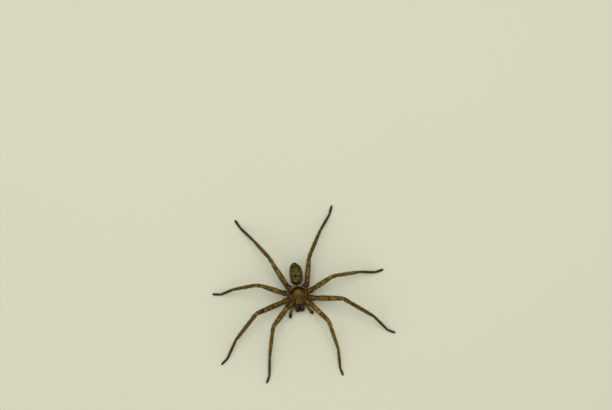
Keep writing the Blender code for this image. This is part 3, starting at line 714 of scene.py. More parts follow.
def build_claws(name, limb, materials):
    """A pair of dark claws that hook down at the tip of the tarsus."""
    tip, along, across = limb.centre[-1], limb.along[-1], limb.across[-1]
    roots = np.array([tip - along * 0.12 + across * k * 0.11 + np.array([0, 0, 0.08]) for k in (-1, 1)])
    start = unit(np.array([along + across * k * 0.22 + np.array([0, 0, 0.25]) for k in (-1, 1)]))
    end = unit(np.array([along * 0.45 + np.array([0, 0, -1.0])] * 2))
    normal = np.array([[0, 0, 1.0]] * 2)
    made, polygons, layout = shafts(roots, start, end, normal, np.full(2, 0.62), np.full(2, 0.07), 8, 8, 0.8)
    made[..., 2] = np.maximum(made[..., 2], LEAST_Z)
    finished(mesh_object(f"{name}_claws", made.reshape(-1, 3), polygons, materials["claw"]), "leg_end")


def on_side(sign, place):
    """A place given for the left side, on the side asked for."""
    return np.array([sign * place[0], *place[1:]])


def build_palp(side, materials):
    """A palp with a swollen dark tarsus, and the blade of its coxa beside the mouth."""
    sign, seed = side_sign(side), SEED * 200 + side_sign(side)
    root, hip = on_side(sign, PALP_ROOT), on_side(sign, PALP_HIP)
    headings = [direction(sign, *turn) for turn in zip(PALP_SWINGS[side], PALP_SLOPES[side])]
    joints = [root, *chain(hip, PALP_LENGTHS, headings)]
    limb = Limb(joints, PALP_SHAPE, PALP_NECKS, {}, ((0, 5), (1, 1)), 0.08)
    points, angles = limb.rings(24, 0.3)
    place = np.broadcast_to(limb.place[:, None], points.shape[:2])
    blotch = waves(points, 0.9, seed)
    tint = np.broadcast_to(lin(102, 86, 46), points.shape)
    tint = mixed(tint, DARK_BROWN, step(blotch, 0.4, 1.4) * 0.55)
    tint = mixed(tint, lin(46, 39, 14), step(place + 0.06 * blotch, 3.9, 4.2) * 0.94)
    tint = mixed(tint, RUST, limb.membrane[:, None] * 0.6)
    surface = Surface(points, tint * COAT_GAIN)
    blade = blade_surface(sign)
    skin(f"palp_{side}_skin", materials["leg"], "palp", [surface, blade], f"palp_{side}")
    cover = 1 - 0.9 * limb.membrane[:, None] * np.ones_like(place)
    fringe = np.broadcast_to(np.linspace(0, 1, blade.points.shape[0])[:, None] ** 3, blade.points.shape[:2])
    batches = [
        hairs(surface, 3500, seed + 1, (0.28, 0.52), 0.03, (12, 34), weight=cover, colour=TAN, share=0.06),
        hairs(surface, 600, seed + 2, (0.5, 0.85), 0.028, (35, 65), 25, weight=cover * (place > 1),
              colour=SPINE_BROWN, share=0.6),
        hairs(blade, 500, seed + 3, (0.3, 0.5), 0.03, (30, 60), 30, weight=fringe + 0.05,
              colour=FRINGE_ORANGE, share=0.8),
    ]
    coat(f"palp_{side}_coat", materials["hair"], "palp", batches)


def blade_surface(sign):
    back, front = on_side(sign, BLADE_BACK), on_side(sign, BLADE_FRONT)
    across = np.array([1.0, 0, 0])
    up = unit(np.cross(across, front - back))
    sections = ((0.0, 0.38, 0.26), (0.25, 0.50, 0.33), (0.75, 0.48, 0.30), (1.0, 0.28, 0.16))
    shares = np.linspace(0, 1, 24)
    close = np.sqrt(np.clip(1 - (np.clip((shares - 0.85) / 0.16, 0, 1)) ** 2, 0.03, 1))
    wide = (eased(sections, shares) - 0.05) * close
    thick = (eased(sections, shares, 2) - 0.05) * close
    angles = ring_angles(24)
    middle = back + (front - back) * shares[:, None]
    points = (
        middle[:, None] + across * (wide[:, None] * np.cos(angles))[..., None]
        + up * (thick[:, None] * np.sin(angles))[..., None]
    )
    tint = np.broadcast_to(lin(112, 76, 44) * COAT_GAIN, points.shape).copy()
    return Surface(points, tint)


CARAPACE_WIDTHS = (
    (0.0, 0.47), (0.025, 0.53), (0.07, 0.56), (0.16, 0.64), (0.28, 0.80), (0.42, 0.95),
    (0.58, 1.0), (0.74, 0.95), (0.86, 0.82), (0.94, 0.64), (0.985, 0.48), (1.0, 0.38),
)
CARAPACE_TOPS = (
    (0.0, 6.45), (0.02, 6.9), (0.06, 7.35), (0.13, 7.75), (0.25, 7.98), (0.42, 8.1), (0.60, 8.2),
    (0.76, 8.0), (0.88, 7.35), (0.96, 6.65), (1.0, 6.2),
)
CARAPACE_UNDERSIDES = ((0.0, 5.55), (0.1, UNDERSIDE_Z), (0.85, UNDERSIDE_Z), (1.0, 5.65))
FOVEA = (1.0, 2.5)
EYE_PLACES = ("anterior_median", "anterior_lateral", "posterior_median", "posterior_lateral")


def eye_balls():
    """The middle and radius of each eye, read from the frame."""
    found = {}
    for place in EYE_PLACES:
        for side in ("right", "left"):
            low, high = (np.array(corner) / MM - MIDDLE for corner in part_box(f"eye_{place}_{side}"))
            found[f"eye_{place}_{side}"] = ((low + high) / 2, float((high - low)[2] / 2))
    return found


def segment_distance(x, y, start, end):
    """The distance in plan from points to a straight stretch, and the share of the way along it."""
    ax, ay, bx, by = *start, *end
    dx, dy = bx - ax, by - ay
    share = np.clip(((x - ax) * dx + (y - ay) * dy) / (dx * dx + dy * dy), 0, 1)
    return np.hypot(x - ax - dx * share, y - ay - dy * share), share


def furrows(x, y):
    """How deep the carapace is grooved in plan: the fovea, the neck grooves and three rays a side."""
    side = np.abs(x)
    fovea = segment_distance(x, y, (0, FOVEA[0]), (0, FOVEA[1]))[0]
    depth = 0.26 * bump(fovea / 0.16)
    neck, share = segment_distance(side, y, (0.3, 0.9), (2.5, -2.7))
    depth = np.maximum(depth, 0.13 * bump((neck - 0.18 * np.sin(share * math.pi)) / 0.26))
    for end in ((3.9, -0.9), (4.2, 1.5), (3.3, 3.6)):
        ray, share = segment_distance(side, y, (0.45, 1.6), end)
        depth = np.maximum(depth, 0.10 * bump(ray / 0.24) * step(share, 0.05, 0.3) * (1 - step(share, 0.75, 1)))
    return depth


def plan_share(x, y):
    """How far out a place is in plan: 0 in the middle of the carapace and 1 on its rim."""
    shares = np.linspace(0, 1, 400)
    rim_x = eased(CARAPACE_WIDTHS, shares) * CARAPACE_WIDTH / 2
    rim_y = (shares - 0.5) * CARAPACE_LENGTH
    centre_y = 0.6
    rim_turn = np.arctan2(rim_x, rim_y - centre_y)
    order = np.argsort(rim_turn)
    rim = np.hypot(rim_x, rim_y - centre_y)
    turn = np.arctan2(np.abs(x), y - centre_y)
    return np.hypot(x, y - centre_y) / np.interp(turn, rim_turn[order], rim[order])


# On the carapace: its dark lines with both ends, half the width and the strength, the corners of the
# black band behind, and that band's lobes with the middle, half the width and length, and the strength
DARK_LINES = (
    ((-2.0, 0.6), (-2.0, -4.2), 0.42, 0.85), ((3.2, 1.7), (3.1, 0.0), 0.22, 0.8), ((3.1, 0.0), (2.3, -2.3), 0.24, 0.85),
    ((2.3, -2.3), (2.1, -4.2), 0.26, 0.8), ((1.95, 0.4), (1.95, -1.6), 0.16, 0.5),
)
BLACK_BAND = ((-3.6, 1.3), (-3.1, 2.6), (-1.8, 3.6), (0.0, 3.9), (1.7, 3.75), (3.0, 2.9), (3.3, 2.0))
BLACK_LOBES = (
    (-2.9, 2.0, 0.95, 0.9, 1.0), (-2.3, 3.1, 0.8, 0.6, 1.0), (1.9, 3.0, 0.75, 0.5, 0.9), (2.7, 3.0, 0.7, 0.6, 1.0),
)


def carapace_tint(points, eyes):
    """Brown, with a golden patch behind, a black U round it, a pale line inside the rear rim, a
    paler head between dark grooves and painted shade below the rim."""
    x, y, z = (points[..., k] for k in range(3))
    side, blotch, fine = np.abs(x), waves(points, 1.3, 31), waves(points, 0.5, 32)
    out = plan_share(x, y)
    tint = np.broadcast_to(lin(86, 66, 28), points.shape)
    tint = mixed(tint, DARK_BROWN * 0.8, step(blotch + 0.6 * fine, 0.0, 0.9) * 0.75)
    tint = mixed(tint, lin(100, 78, 38), step(-blotch + 0.5 * fine, 0.6, 1.5) * 0.5)
    for cx, cy, size in ((3.2, -1.2, 0.42), (3.1, 0.3, 0.45), (3.8, -2.4, 0.4), (4.2, -0.4, 0.35), (3.9, 1.2, 0.4)):
        tint = mixed(tint, NEAR_BLACK, bump(np.hypot(side - cx, y - cy) / size) * 0.7)
    head = (1 - step(np.abs(x - 0.2) + 0.1 * blotch, 1.35, 1.75)) * (1 - step(y, -0.3, 0.2)) * step(y, -4.4, -4.1)
    bright = 0.68 + 0.27 * step(-y, 1.0, 3.6)
    tint = mixed(tint, (lin(92, 69, 23) + (lin(85, 69, 26) - lin(92, 69, 23)) * step(x, -0.6, 1.2)[..., None])
                 * bright[..., None], head * 0.92)
    tint = mixed(tint, DARK_BROWN, head * step(blotch + fine, 0.5, 1.6) * 0.45)
    for start, end, wide, strength in DARK_LINES:
        tint = mixed(tint, NEAR_BLACK * 0.8, bump(segment_distance(x, y, start, end)[0] / wide) * strength)
    tint = mixed(tint, lin(92, 54, 26), bump(np.hypot(x / 1.5, (y - 0.2) / 0.22)) * 0.6)
    tint = mixed(tint, NEAR_BLACK, furrows(x, y) / 0.13 * 0.4)
    band = np.zeros_like(x)
    for start, end in zip(BLACK_BAND, BLACK_BAND[1:]):
        away = segment_distance(x, y, start, end)[0] / 0.52 + 0.12 * blotch + 0.1 * fine
        band = np.maximum(band, 1 - step(away, 0.8, 1.2))
    for cx, cy, wide, long, strength in BLACK_LOBES:
        away = np.hypot((x - cx) / wide, (y - cy) / long)
        band = np.maximum(band, (1 - step(away + 0.15 * fine, 0.75, 1.25)) * strength)
    band = band * (1 - step(out, 0.87, 0.9))
    tint = mixed(tint, NEAR_BLACK * 0.5, band * 0.97)
    gold = bump(np.hypot((x - 0.05) / (0.95 - 0.25 * (y - 2)), (y - 1.95) / 0.95) ** 1.8 + 0.3 * fine)
    tint = mixed(tint, lin(118, 95, 34), gold * 0.85)
    tint = mixed(tint, lin(98, 64, 14), bump(np.hypot(x / 0.7, (y - 0.9) / 0.4)) * 0.7)
    for cx, cy in ((-1.5, -0.5), (-1.3, 0.8), (1.6, 0.9), (-0.9, 1.1)):
        tint = mixed(tint, PALE_PINK, bump(np.hypot(x - cx, y - cy) / 0.24) * 0.4)
    line = bump((out - 0.93) / 0.010) * (0.04 + 0.96 * step(y, 2.4, 4.3))
    tint = mixed(tint, CREAM, line)
    tint = mixed(tint, NEAR_BLACK, step(out, 0.95, 0.965) * 0.8)
    face = step(-y + 0.15 * blotch, 3.9, 4.3)
    tint = mixed(tint, lin(48, 36, 18), face * 0.92)
    for middle, radius in eyes.values():
        away = np.linalg.norm(points - middle, axis=-1)
        tint = mixed(tint, NEAR_BLACK * 0.7, 1 - step(away, radius * 1.35, radius * 2.0))
    # Painted shade: the carapace below its rim is darkened for the shade under the overhang
    tint = mixed(tint, tint * 0.6, step(RIM_Z - z, 0.0, 0.2))
    return tint * COAT_GAIN


def build_carapace(materials):
    eyes = eye_balls()
    rings, half_length = 150, CARAPACE_LENGTH / 2 - SKIN_DEPTH
    turns = np.linspace(0, math.pi, rings)
    shares = 0.5 - 0.5 * np.cos(turns) * (1 - 0.12 * np.sin(turns) ** 2)
    angles = ring_angles(BODY_SIDES)
    half_width = (eased(CARAPACE_WIDTHS, shares) * CARAPACE_WIDTH / 2 - SKIN_DEPTH)[:, None]
    top = (eased(CARAPACE_TOPS, shares) - SKIN_DEPTH)[:, None]
    low = (eased(CARAPACE_UNDERSIDES, shares) + SKIN_DEPTH)[:, None]
    sin, cos = np.sin(angles)[None], np.cos(angles)[None]
    edge = 1 + 0.012 * bump(sin / 0.1)
    x = half_width * cos * edge
    y = np.broadcast_to(((shares * 2 - 1) * half_length)[:, None], x.shape)
    z = RIM_Z + np.where(sin > 0, top - RIM_Z, RIM_Z - low) * sin
    z = z - furrows(x, y) * step(z, 6.0, 6.6)
    points = np.stack([x, y, z], -1)
    front = points[:1].mean(1, keepdims=True)
    turns = np.linspace(math.pi / 2, 0.05, 9)[:-1][:, None, None]
    cap = front + (points[:1] - front) * np.cos(turns) - np.array([0, 0.16, 0]) * np.sin(turns)
    rear = points[-1:].mean(1, keepdims=True)
    turns = turns[::-1]
    close = rear + (points[-1:] - rear) * np.cos(turns) + np.array([0, 0.10, 0]) * np.sin(turns)
    points = np.concatenate([cap, points, close])
    surface = Surface(points, np.zeros_like(points))
    for middle, radius in eyes.values():
        away = np.linalg.norm(points - middle, axis=-1)
        points = points + surface.normals * (0.10 * bump(away / (radius * 1.5)))[..., None]
    surface = Surface(points, carapace_tint(points, eyes))
    skin("carapace_skin", materials["carapace"], "carapace", [surface], "carapace")

    x, y, z = (points[..., k] for k in range(3))
    upper = step(z, RIM_Z - 0.15, RIM_Z + 0.1)
    clear = np.ones(points.shape[:2])
    for middle, radius in eyes.values():
        clear = clear * step(np.linalg.norm(points - middle, axis=-1), radius * 1.25, radius * 1.7)
    lie = np.stack([x * 0.35, y - 1.6 + 2.6 * step(-y, 1.0, 3.0), np.zeros_like(x)], -1)
    lie = np.where((y < -1.2)[..., None], np.stack([x * 0.15, np.ones_like(x), np.zeros_like(x)], -1), lie)
    lie = unit(lie + np.array([0, 0.02, 0]))
    face = step(-y, 3.4, 4.2)
    rim = step(plan_share(x, y), 0.93, 0.98) * step(y, 2.6, 3.8)
    batches = [
        hairs(surface, 9500, 41, (0.20, 0.40), 0.028, (6, 22), 10, weight=upper * clear * (1 - 0.5 * face),
              lie=lie, colour=TAN, share=0.10),
        hairs(surface, 700, 42, (0.45, 0.85), 0.032, (12, 40), 14, weight=clear * rim * (z > RIM_Z - 0.4), lie=lie,
              colour=TAN * 0.8, share=0.5),
        hairs(surface, 420, 43, (0.5, 1.0), 0.028, (50, 80), 30, weight=upper * clear * (0.3 + face), lie=-lie,
              colour=SPINE_BROWN, share=0.8),
        hairs(surface, 1600, 44, (0.22, 0.4), 0.028, (10, 40), 10, weight=clear * face * (z < 6.9), lie=lie,
              colour=TAN, share=0.25),
    ]
    coat("carapace_coat", materials["hair"], "carapace", batches)
    for name, (middle, radius) in eyes.items():
        build_eye(name, middle, radius, materials)


def build_eye(name, middle, radius, materials):
    """A smooth lens, a little taller than it is wide at its base."""
    turns = np.linspace(0.06, math.pi - 0.06, 22)
    angles = ring_angles(32)
    level = np.stack([np.cos(angles), np.zeros(32), np.sin(angles)], -1)
    points = middle + radius * (
        np.sin(turns)[:, None, None] * level[None] - np.array([0, 1.0, 0]) * np.cos(turns)[:, None, None]
    )
    surface = Surface(points, np.broadcast_to(NEAR_BLACK * 0.3, points.shape))
    skin(f"{name}_lens", materials["eye"], "eye", [surface], name)


def build_sternum(materials):
    """The heart-shaped plate under the body, the core that the coxae leave, and the lip."""
    levels = (
        (0.0, 5.55, 0.93, 0.0), (0.25, UNDERSIDE_Z - 0.4, 0.95, 0.0), (0.5, COXA_Z, 0.97, 0.0),
        (0.72, STERNUM_Z + 0.45, 0.96, 0.18), (0.82, STERNUM_Z + 0.18, 0.90, 0.26),
        (0.90, STERNUM_Z + 0.08, 0.74, 0.3), (0.96, STERNUM_Z + 0.03, 0.44, 0.3), (1.0, STERNUM_Z + 0.02, 0.06, 0.3),
    )
    shares = np.linspace(0, 1, 60)
    angles = ring_angles(72)
    z, size, taper = (eased(levels, shares, k)[:, None] for k in (1, 2, 3))
    y = CORE_HALF_LENGTH * size * np.sin(angles)
    x = CORE_HALF_WIDTH * size * np.cos(angles) * (1 - taper * np.maximum(0, y / CORE_HALF_LENGTH))
    points = np.stack([x, y, np.broadcast_to(z, x.shape)], -1)
    blotch = waves(points, 1.0, 51)
    tint = np.broadcast_to(STERNUM_BROWN, points.shape).copy()
    tint = mixed(tint, DARK_BROWN, step(size * np.ones_like(x), 0.82, 0.97) * 0.75)
    tint = mixed(tint, BROWN, step(blotch, 0.3, 1.3) * 0.5)
    surface = Surface(points, tint * COAT_GAIN)
    lip_shares = np.linspace(0.04, 0.96, 20)
    turns = lip_shares * math.pi
    ring = np.stack([np.cos(angles) * 0.42, np.zeros(72), np.sin(angles) * 0.2], -1)
    lip = np.sin(turns)[:, None, None] * ring + np.array([0, -3.35, STERNUM_Z - 0.02])
    lip = lip - np.array([0, 0.48, 0.12]) * np.cos(turns)[:, None, None]
    labium = Surface(lip, np.broadcast_to(lin(88, 60, 34) * COAT_GAIN, lip.shape))
    skin("sternum_skin", materials["carapace"], "sternum", [surface, labium], "sternum")
    under = step(-points[..., 2], -STERNUM_Z - 0.5, -STERNUM_Z - 0.2)
    lie = np.broadcast_to(np.array([0, 1.0, 0]), points.shape)
    batches = [
        hairs(surface, 1800, 52, (0.25, 0.45), 0.03, (10, 30), 12, weight=under, lie=lie, colour=TAN, share=0.25),
        hairs(surface, 200, 53, (0.6, 0.9), 0.026, (40, 70), 20, weight=under, lie=lie, colour=SPINE_BROWN, share=1.0),
    ]
    coat("sternum_coat", materials["hair"], "sternum", batches)


ABDOMEN_WIDTHS = (
    (0.0, 0.19), (0.04, 0.50), (0.10, 0.75), (0.20, 0.92), (0.34, 0.99), (0.50, 1.0), (0.66, 0.98),
    (0.80, 0.89), (0.92, 0.70), (1.0, 0.46),
)
ABDOMEN_HEIGHTS = (
    (0.0, 0.22), (0.04, 0.48), (0.10, 0.70), (0.20, 0.88), (0.34, 0.98), (0.50, 1.0), (0.66, 0.95),
    (0.80, 0.80), (0.92, 0.58), (1.0, 0.38),
)
ABDOMEN_MIDDLES = ((0.0, 5.0), (0.10, 5.35), (0.34, 6.0), (0.60, 6.0), (0.85, 5.35), (1.0, 4.9))
ABDOMEN_LEANS = ((0.0, 0.35), (0.4, 0.0), (0.75, 0.0), (1.0, ABDOMEN_TAIL_LEAN))
ABDOMEN_BENDS = ((0.0, 0.0), (0.55, 0.0), (0.8, ABDOMEN_TAIL_BEND * 0.35), (1.0, ABDOMEN_TAIL_BEND))


def swung(points):
    """Points laid out along the abdomen, turned with it about the waist."""
    turn = Matrix.Rotation(math.radians(-ABDOMEN_SWING), 3, "Z")
    return points @ np.array(turn).T + np.array([0, ABDOMEN_FRONT, 0])


def abdomen_grid(shares, sides, depth):
    """Sections of the abdomen before it is turned, and the height of each section's middle."""
    angles = ring_angles(sides)
    middle = eased(ABDOMEN_MIDDLES, shares)[:, None]
    half_height = (ABDOMEN_HEIGHT / 2 * eased(ABDOMEN_HEIGHTS, shares) - depth)[:, None]
    half_width = (ABDOMEN_WIDTH / 2 * eased(ABDOMEN_WIDTHS, shares) - depth)[:, None]
    rise = half_height * np.sin(angles)
    x = half_width * np.cos(angles) + eased(ABDOMEN_BENDS, shares)[:, None]
    y = shares[:, None] * ABDOMEN_LENGTH - eased(ABDOMEN_LEANS, shares)[:, None] * rise
    return np.stack([x, y, middle + rise], -1), middle


# Marks on the abdomen: the place across and along it, half the width and length, and the strength.
# The hairs carry a mark this far towards the tail.
COAT_SHIFT = 0.2
DARK_MARKS = (
    (-1.5, 1.5, 0.8, 0.48, 1.0), (0.95, 1.45, 0.75, 0.48, 1.0), (-0.7, 0.75, 0.65, 0.5, 1.0),
    (-0.1, 0.9, 0.65, 0.5, 1.0), (-1.5, 4.75, 0.85, 0.38, 0.8), (1.1, 4.6, 0.9, 0.38, 0.8),
    (2.0, 4.2, 0.4, 0.35, 0.6), (-0.35, 4.8, 0.36, 1.15, 0.85), (-1.25, 7.05, 0.34, 0.34, 1.1),
    (1.4, 6.95, 0.56, 0.38, 1.1), (-1.7, 3.0, 0.5, 0.32, 0.55), (1.2, 2.75, 0.6, 0.36, 0.5),
    (-0.6, 9.3, 0.65, 0.4, 0.75), (1.05, 9.4, 0.8, 0.45, 0.8), (-1.6, 8.5, 0.38, 0.5, 0.65),
    (2.2, 8.25, 0.45, 0.5, 0.65), (-0.25, 7.6, 0.26, 0.26, 0.45), (1.4, 7.9, 0.6, 0.4, 0.4),
    (2.3, 5.9, 0.35, 0.4, 0.4), (-2.5, 3.4, 0.35, 0.7, 0.35),
)
PALE_MARKS = (
    (-0.75, 1.3, 0.2, 0.2, 0.6), (-0.6, 2.65, 0.3, 0.26, 0.7), (-1.6, 5.9, 0.75, 0.3, 0.5),
    (1.15, 5.65, 0.85, 0.3, 0.45), (-1.7, 3.8, 0.55, 0.26, 0.3), (0.75, 3.65, 0.55, 0.3, 0.35),
    (-0.45, 8.2, 0.36, 0.4, 0.35), (0.4, 8.5, 0.26, 0.4, 0.3), (0.0, 6.7, 0.5, 0.5, 0.2),
    (2.2, 7.3, 0.5, 0.3, 0.35), (-0.95, 10.2, 0.3, 0.3, 0.8), (1.1, 10.1, 0.5, 0.25, 0.3),
)


def abdomen_tint(points, middle):
    """Olive and mottled, with a black patch in front, a dark bar, two dots and a dark tail."""
    x, y, z = (points[..., k] for k in range(3))
    blotch, fine = waves(points, 1.3, 61), waves(points, 0.5, 62)
    above = step(z - middle, -1.2, 0.6)
    tint = mixed(np.broadcast_to(BELLY, points.shape), OLIVE, above)
    tint = mixed(tint, PALE_OLIVE, step(blotch + 0.2 * fine, 0.2, 1.2) * 0.45)
    tint = mixed(tint, DARK_OLIVE, step(-blotch + 0.3 * fine, 0.3, 1.3) * 0.5)
    tint = mixed(tint, DARK_OLIVE, step(np.abs(x), 2.1, 2.9) * above * 0.15)
    tint = mixed(tint, DARK_OLIVE, step(y, 7.4, 9.0) * 0.35)
    for colour, marks in ((lin(142, 128, 86), PALE_MARKS), (NEAR_BLACK * 0.45, DARK_MARKS)):
        for cx, cy, wide, long, strength in marks:
            away = np.hypot((x - cx) / wide, (y - cy + COAT_SHIFT) / long) / 1.12
            mask = bump(away**1.8 + 0.12 * fine + 0.08 * blotch) * strength * 1.15 * above
            tint = mixed(tint, colour, mask)
    tint = mixed(tint, lin(44, 42, 22), step(y + 0.3 * blotch, 9.7, 10.7) * 0.6)
    return tint * COAT_GAIN


def build_abdomen(materials):
    """One skin from the waist to the tail, with the spinnerets set under its overhang."""
    shares = (1 - np.cos(np.linspace(0, math.pi, 130))) / 2
    points, middle = abdomen_grid(shares, BODY_SIDES, SKIN_DEPTH)
    tint = abdomen_tint(points, middle)
    end = points[-1:].mean(1, keepdims=True)
    turns = np.linspace(0.15, math.pi / 2 - 0.1, 7)[:, None, None]
    tail = np.array([0, 0.22, -0.11])
    close = end + (points[-1:] - end) * np.cos(turns) + tail * np.sin(turns)
    close_tint = np.broadcast_to(tint[-1:], close.shape)
    points = np.concatenate([points, close])
    points = swung(points)
    start = np.array([0, CORE_HALF_LENGTH - 0.4, PEDICEL_Z])
    front = points[0].mean(0)
    spokes = points[0] - front
    waist = []
    for share in np.linspace(0, 0.93, 16):
        size = PEDICEL_RADIUS * (0.86 + 0.22 * (2 * share - 1) ** 2) - 0.05
        waist.append(start + (front - start) * share + unit(spokes) * size)
    waist_tint = np.broadcast_to(lin(96, 74, 44) * COAT_GAIN, (16, BODY_SIDES, 3))
    points = np.concatenate([np.array(waist), points])
    tint = np.concatenate([waist_tint, tint, close_tint])
    folds = 0.02 * waves(points, 0.8, 63) + 0.015 * waves(points, 0.35, 64)
    surface = Surface(points, tint)
    body = np.arange(len(points))[:, None] >= 18
    points = points + surface.normals * (folds * body)[..., None]
    surface = Surface(points, tint)
    skin("abdomen_skin", materials["abdomen"], "abdomen", [surface], "abdomen", "pedicel")
    cover = body * np.ones(points.shape[:2])
    high = step(points[..., 2], 5.5, 7.0) * cover
    batches = [
        hairs(surface, 15000, 71, (0.34, 0.62), 0.034, (8, 24), 12, weight=cover, colour=TAN, share=0.07),
        hairs(surface, 1500, 72, (0.6, 1.1), 0.028, (28, 58), 22, weight=cover, colour=SPINE_BROWN, share=0.5),
        hairs(surface, 700, 73, (0.6, 1.0), 0.028, (35, 65), 18, weight=high * (points[..., 1] < 7.5),
              colour=TAN, share=0.2),
    ]
    coat("abdomen_coat", materials["hair"], "abdomen", batches)
    build_spinnerets(materials)


def tube(start, along, across, up, length, radius, tip_share, sides=24, rings=14):
    """A tapered tube with a rounded end."""
    shares = np.linspace(0, 1, rings)
    close = np.sqrt(np.clip(1 - np.clip((shares - 0.8) / 0.205, 0, 1) ** 2, 0.03, 1))
    size = radius * (1 - (1 - tip_share) * shares) * close
    angles = ring_angles(sides)
    spokes = across * np.cos(angles)[:, None] + up * np.sin(angles)[:, None]
    return start + along * (shares * length)[:, None, None] + spokes[None] * size[:, None, None]


def build_spinnerets(materials):
    """A low mound, the vent above it, two large front, two hind and two small middle spinnerets."""
    last = swung(abdomen_grid(np.array([1.0]), 24, 0.0)[0])[0]
    middle = last.mean(0)
    across, up = unit(last[0] + last[-1] - last[11] - last[12]), unit(last[5] + last[6] - last[17] - last[18])
    back = np.cross(up, across)
    start = middle - back * 0.1
    surfaces = []
    mound = tube(start, back, across, up, 0.66, 0.62, 0.75)
    surfaces.append(Surface(mound, np.broadcast_to(lin(52, 44, 28) * COAT_GAIN, mound.shape)))
    for x, rise, radius, length in ((-0.28, -0.22, 0.24, 0.9), (0.28, -0.22, 0.24, 0.9), (-0.26, 0.2, 0.2, 0.65),
                                    (0.26, 0.2, 0.2, 0.65), (-0.1, 0.0, 0.12, 0.7), (0.1, 0.0, 0.12, 0.7)):
        aim = unit(across * x * 0.35 + back + up * rise * 0.3)
        points = tube(start + across * x + up * rise + back * 0.2, aim, across, up, length, radius, 0.6)
        tint = np.broadcast_to(lin(58, 46, 28) * COAT_GAIN, points.shape).copy()
        tint[-5:] = lin(104, 88, 56) * COAT_GAIN
        surfaces.append(Surface(points, tint))
    vent = tube(start + up * 0.42 + back * 0.1, unit(back + up * 0.3), across, up, 0.55, 0.24, 0.5)
    surfaces.append(Surface(vent, np.broadcast_to(lin(64, 56, 36) * COAT_GAIN, vent.shape)))
    skin("spinnerets_skin", materials["abdomen"], "spinnerets", surfaces, "spinnerets")
    batches = [
        hairs(surface, 260, 80 + i, (0.22, 0.42), 0.028, (20, 45), 15, colour=SPINE_BROWN, share=0.4)
        for i, surface in enumerate(surfaces)
    ]
    coat("spinnerets_coat", materials["hair"], "spinnerets", batches)


def chelicera_middle(sign, share):
    """A place on a chelicera's axis, which runs down and forward and swells away from the midline."""
    down = direction(1, 90, -CHELICERA_SLOPE)
    x = sign * eased(((0.0, 1.1), (0.4, 1.29), (1.0, 1.2)), share)
    middle = np.stack([x, np.full_like(x, CHELICERA_START[0]), np.full_like(x, CHELICERA_START[1])], -1)
    return middle + down * CHELICERA_LENGTH * share[..., None], down


def build_chelicera(side, materials):
    sign, across = side_sign(side), np.array([1.0, 0, 0])
    sections = (
        (0.0, 0.93, 0.93), (0.12, 1.04, 1.08), (0.28, 1.11, 1.2), (0.45, 1.13, 1.22), (0.65, 1.10, 1.15),
        (0.82, 1.01, 1.02), (0.94, 0.84, 0.82), (1.0, 0.60, 0.58),
    )
    shares = np.linspace(-0.1, 1.0, 60)
    middle, down = chelicera_middle(sign, np.maximum(shares, 0))
    middle = middle + down * (np.minimum(shares, 0) * CHELICERA_LENGTH)[:, None]
    close = np.sqrt(np.clip(1 - np.clip((shares - 0.9) / 0.102, 0, 1) ** 2, 0.03, 1))
    wide = (eased(sections, np.clip(shares, 0, 1)) - SKIN_DEPTH) * close
    high = (eased(sections, np.clip(shares, 0, 1), 2) - SKIN_DEPTH) * close
    angles = ring_angles(48)
    up = np.cross(down, across)
    points = (
        middle[:, None] + across * (wide[:, None] * np.cos(angles))[..., None]
        + up * (high[:, None] * np.sin(angles))[..., None]
    )
    blotch = waves(points, 1.0, 90 + sign)
    tint = np.broadcast_to(lin(80, 62, 30), points.shape)
    tint = mixed(tint, NEAR_BLACK, step(blotch, 0.2, 1.4) * 0.5)
    tint = mixed(tint, lin(72, 60, 25), step(shares[:, None] + 0.08 * blotch, 0.7, 0.95) * 0.7)
    surface = Surface(points, tint * COAT_GAIN)
    skin(f"chelicera_{side}_skin", materials["chelicera"], "chelicera", [surface], f"chelicera_{side}")
    upper = step(np.sin(angles)[None] * np.ones_like(points[..., 0]), -0.4, 0.2)
    tip = step(shares, 0.7, 0.92)[:, None] * np.ones_like(upper)
    inner = step(-sign * np.cos(angles), 0.0, 0.6)[None] * np.ones_like(upper)
    draws = [
        hairs(surface, 2500, 95 + sign, (0.26, 0.46), 0.03, (12, 30), 12, weight=upper, colour=TAN, share=0.06),
        hairs(surface, 800, 107 + sign, (0.4, 0.75), 0.034, (30, 66), 25,
              weight=upper * inner * (shares > 0.15)[:, None], colour=DARK_BROWN, share=0.5),
        hairs(surface, 420, 98 + sign, (0.55, 1.0), 0.03, (40, 72), 25, weight=upper, colour=SPINE_BROWN, share=0.6),
        hairs(surface, 460, 101 + sign, (0.4, 0.7), 0.03, (30, 60), 20, weight=tip * (0.2 + inner) * (1.02 - upper),
              colour=FRINGE_ORANGE, share=0.6),
        hairs(surface, 600, 113 + sign, (0.5, 0.9), 0.045, (50, 80), 20,
              weight=inner * (shares > 0.5)[:, None] * (shares < 0.96)[:, None], colour=DARK_BROWN, share=0.5),
        hairs(surface, 500, 110 + sign, (0.45, 0.8), 0.034, (30, 60), 10, weight=tip * (shares < 0.97)[:, None],
              colour=lin(72, 60, 25) * COAT_GAIN, share=0.9),
    ]
    coat(f"chelicera_{side}_coat", materials["hair"], "chelicera", draws)
    build_fang(side, materials)


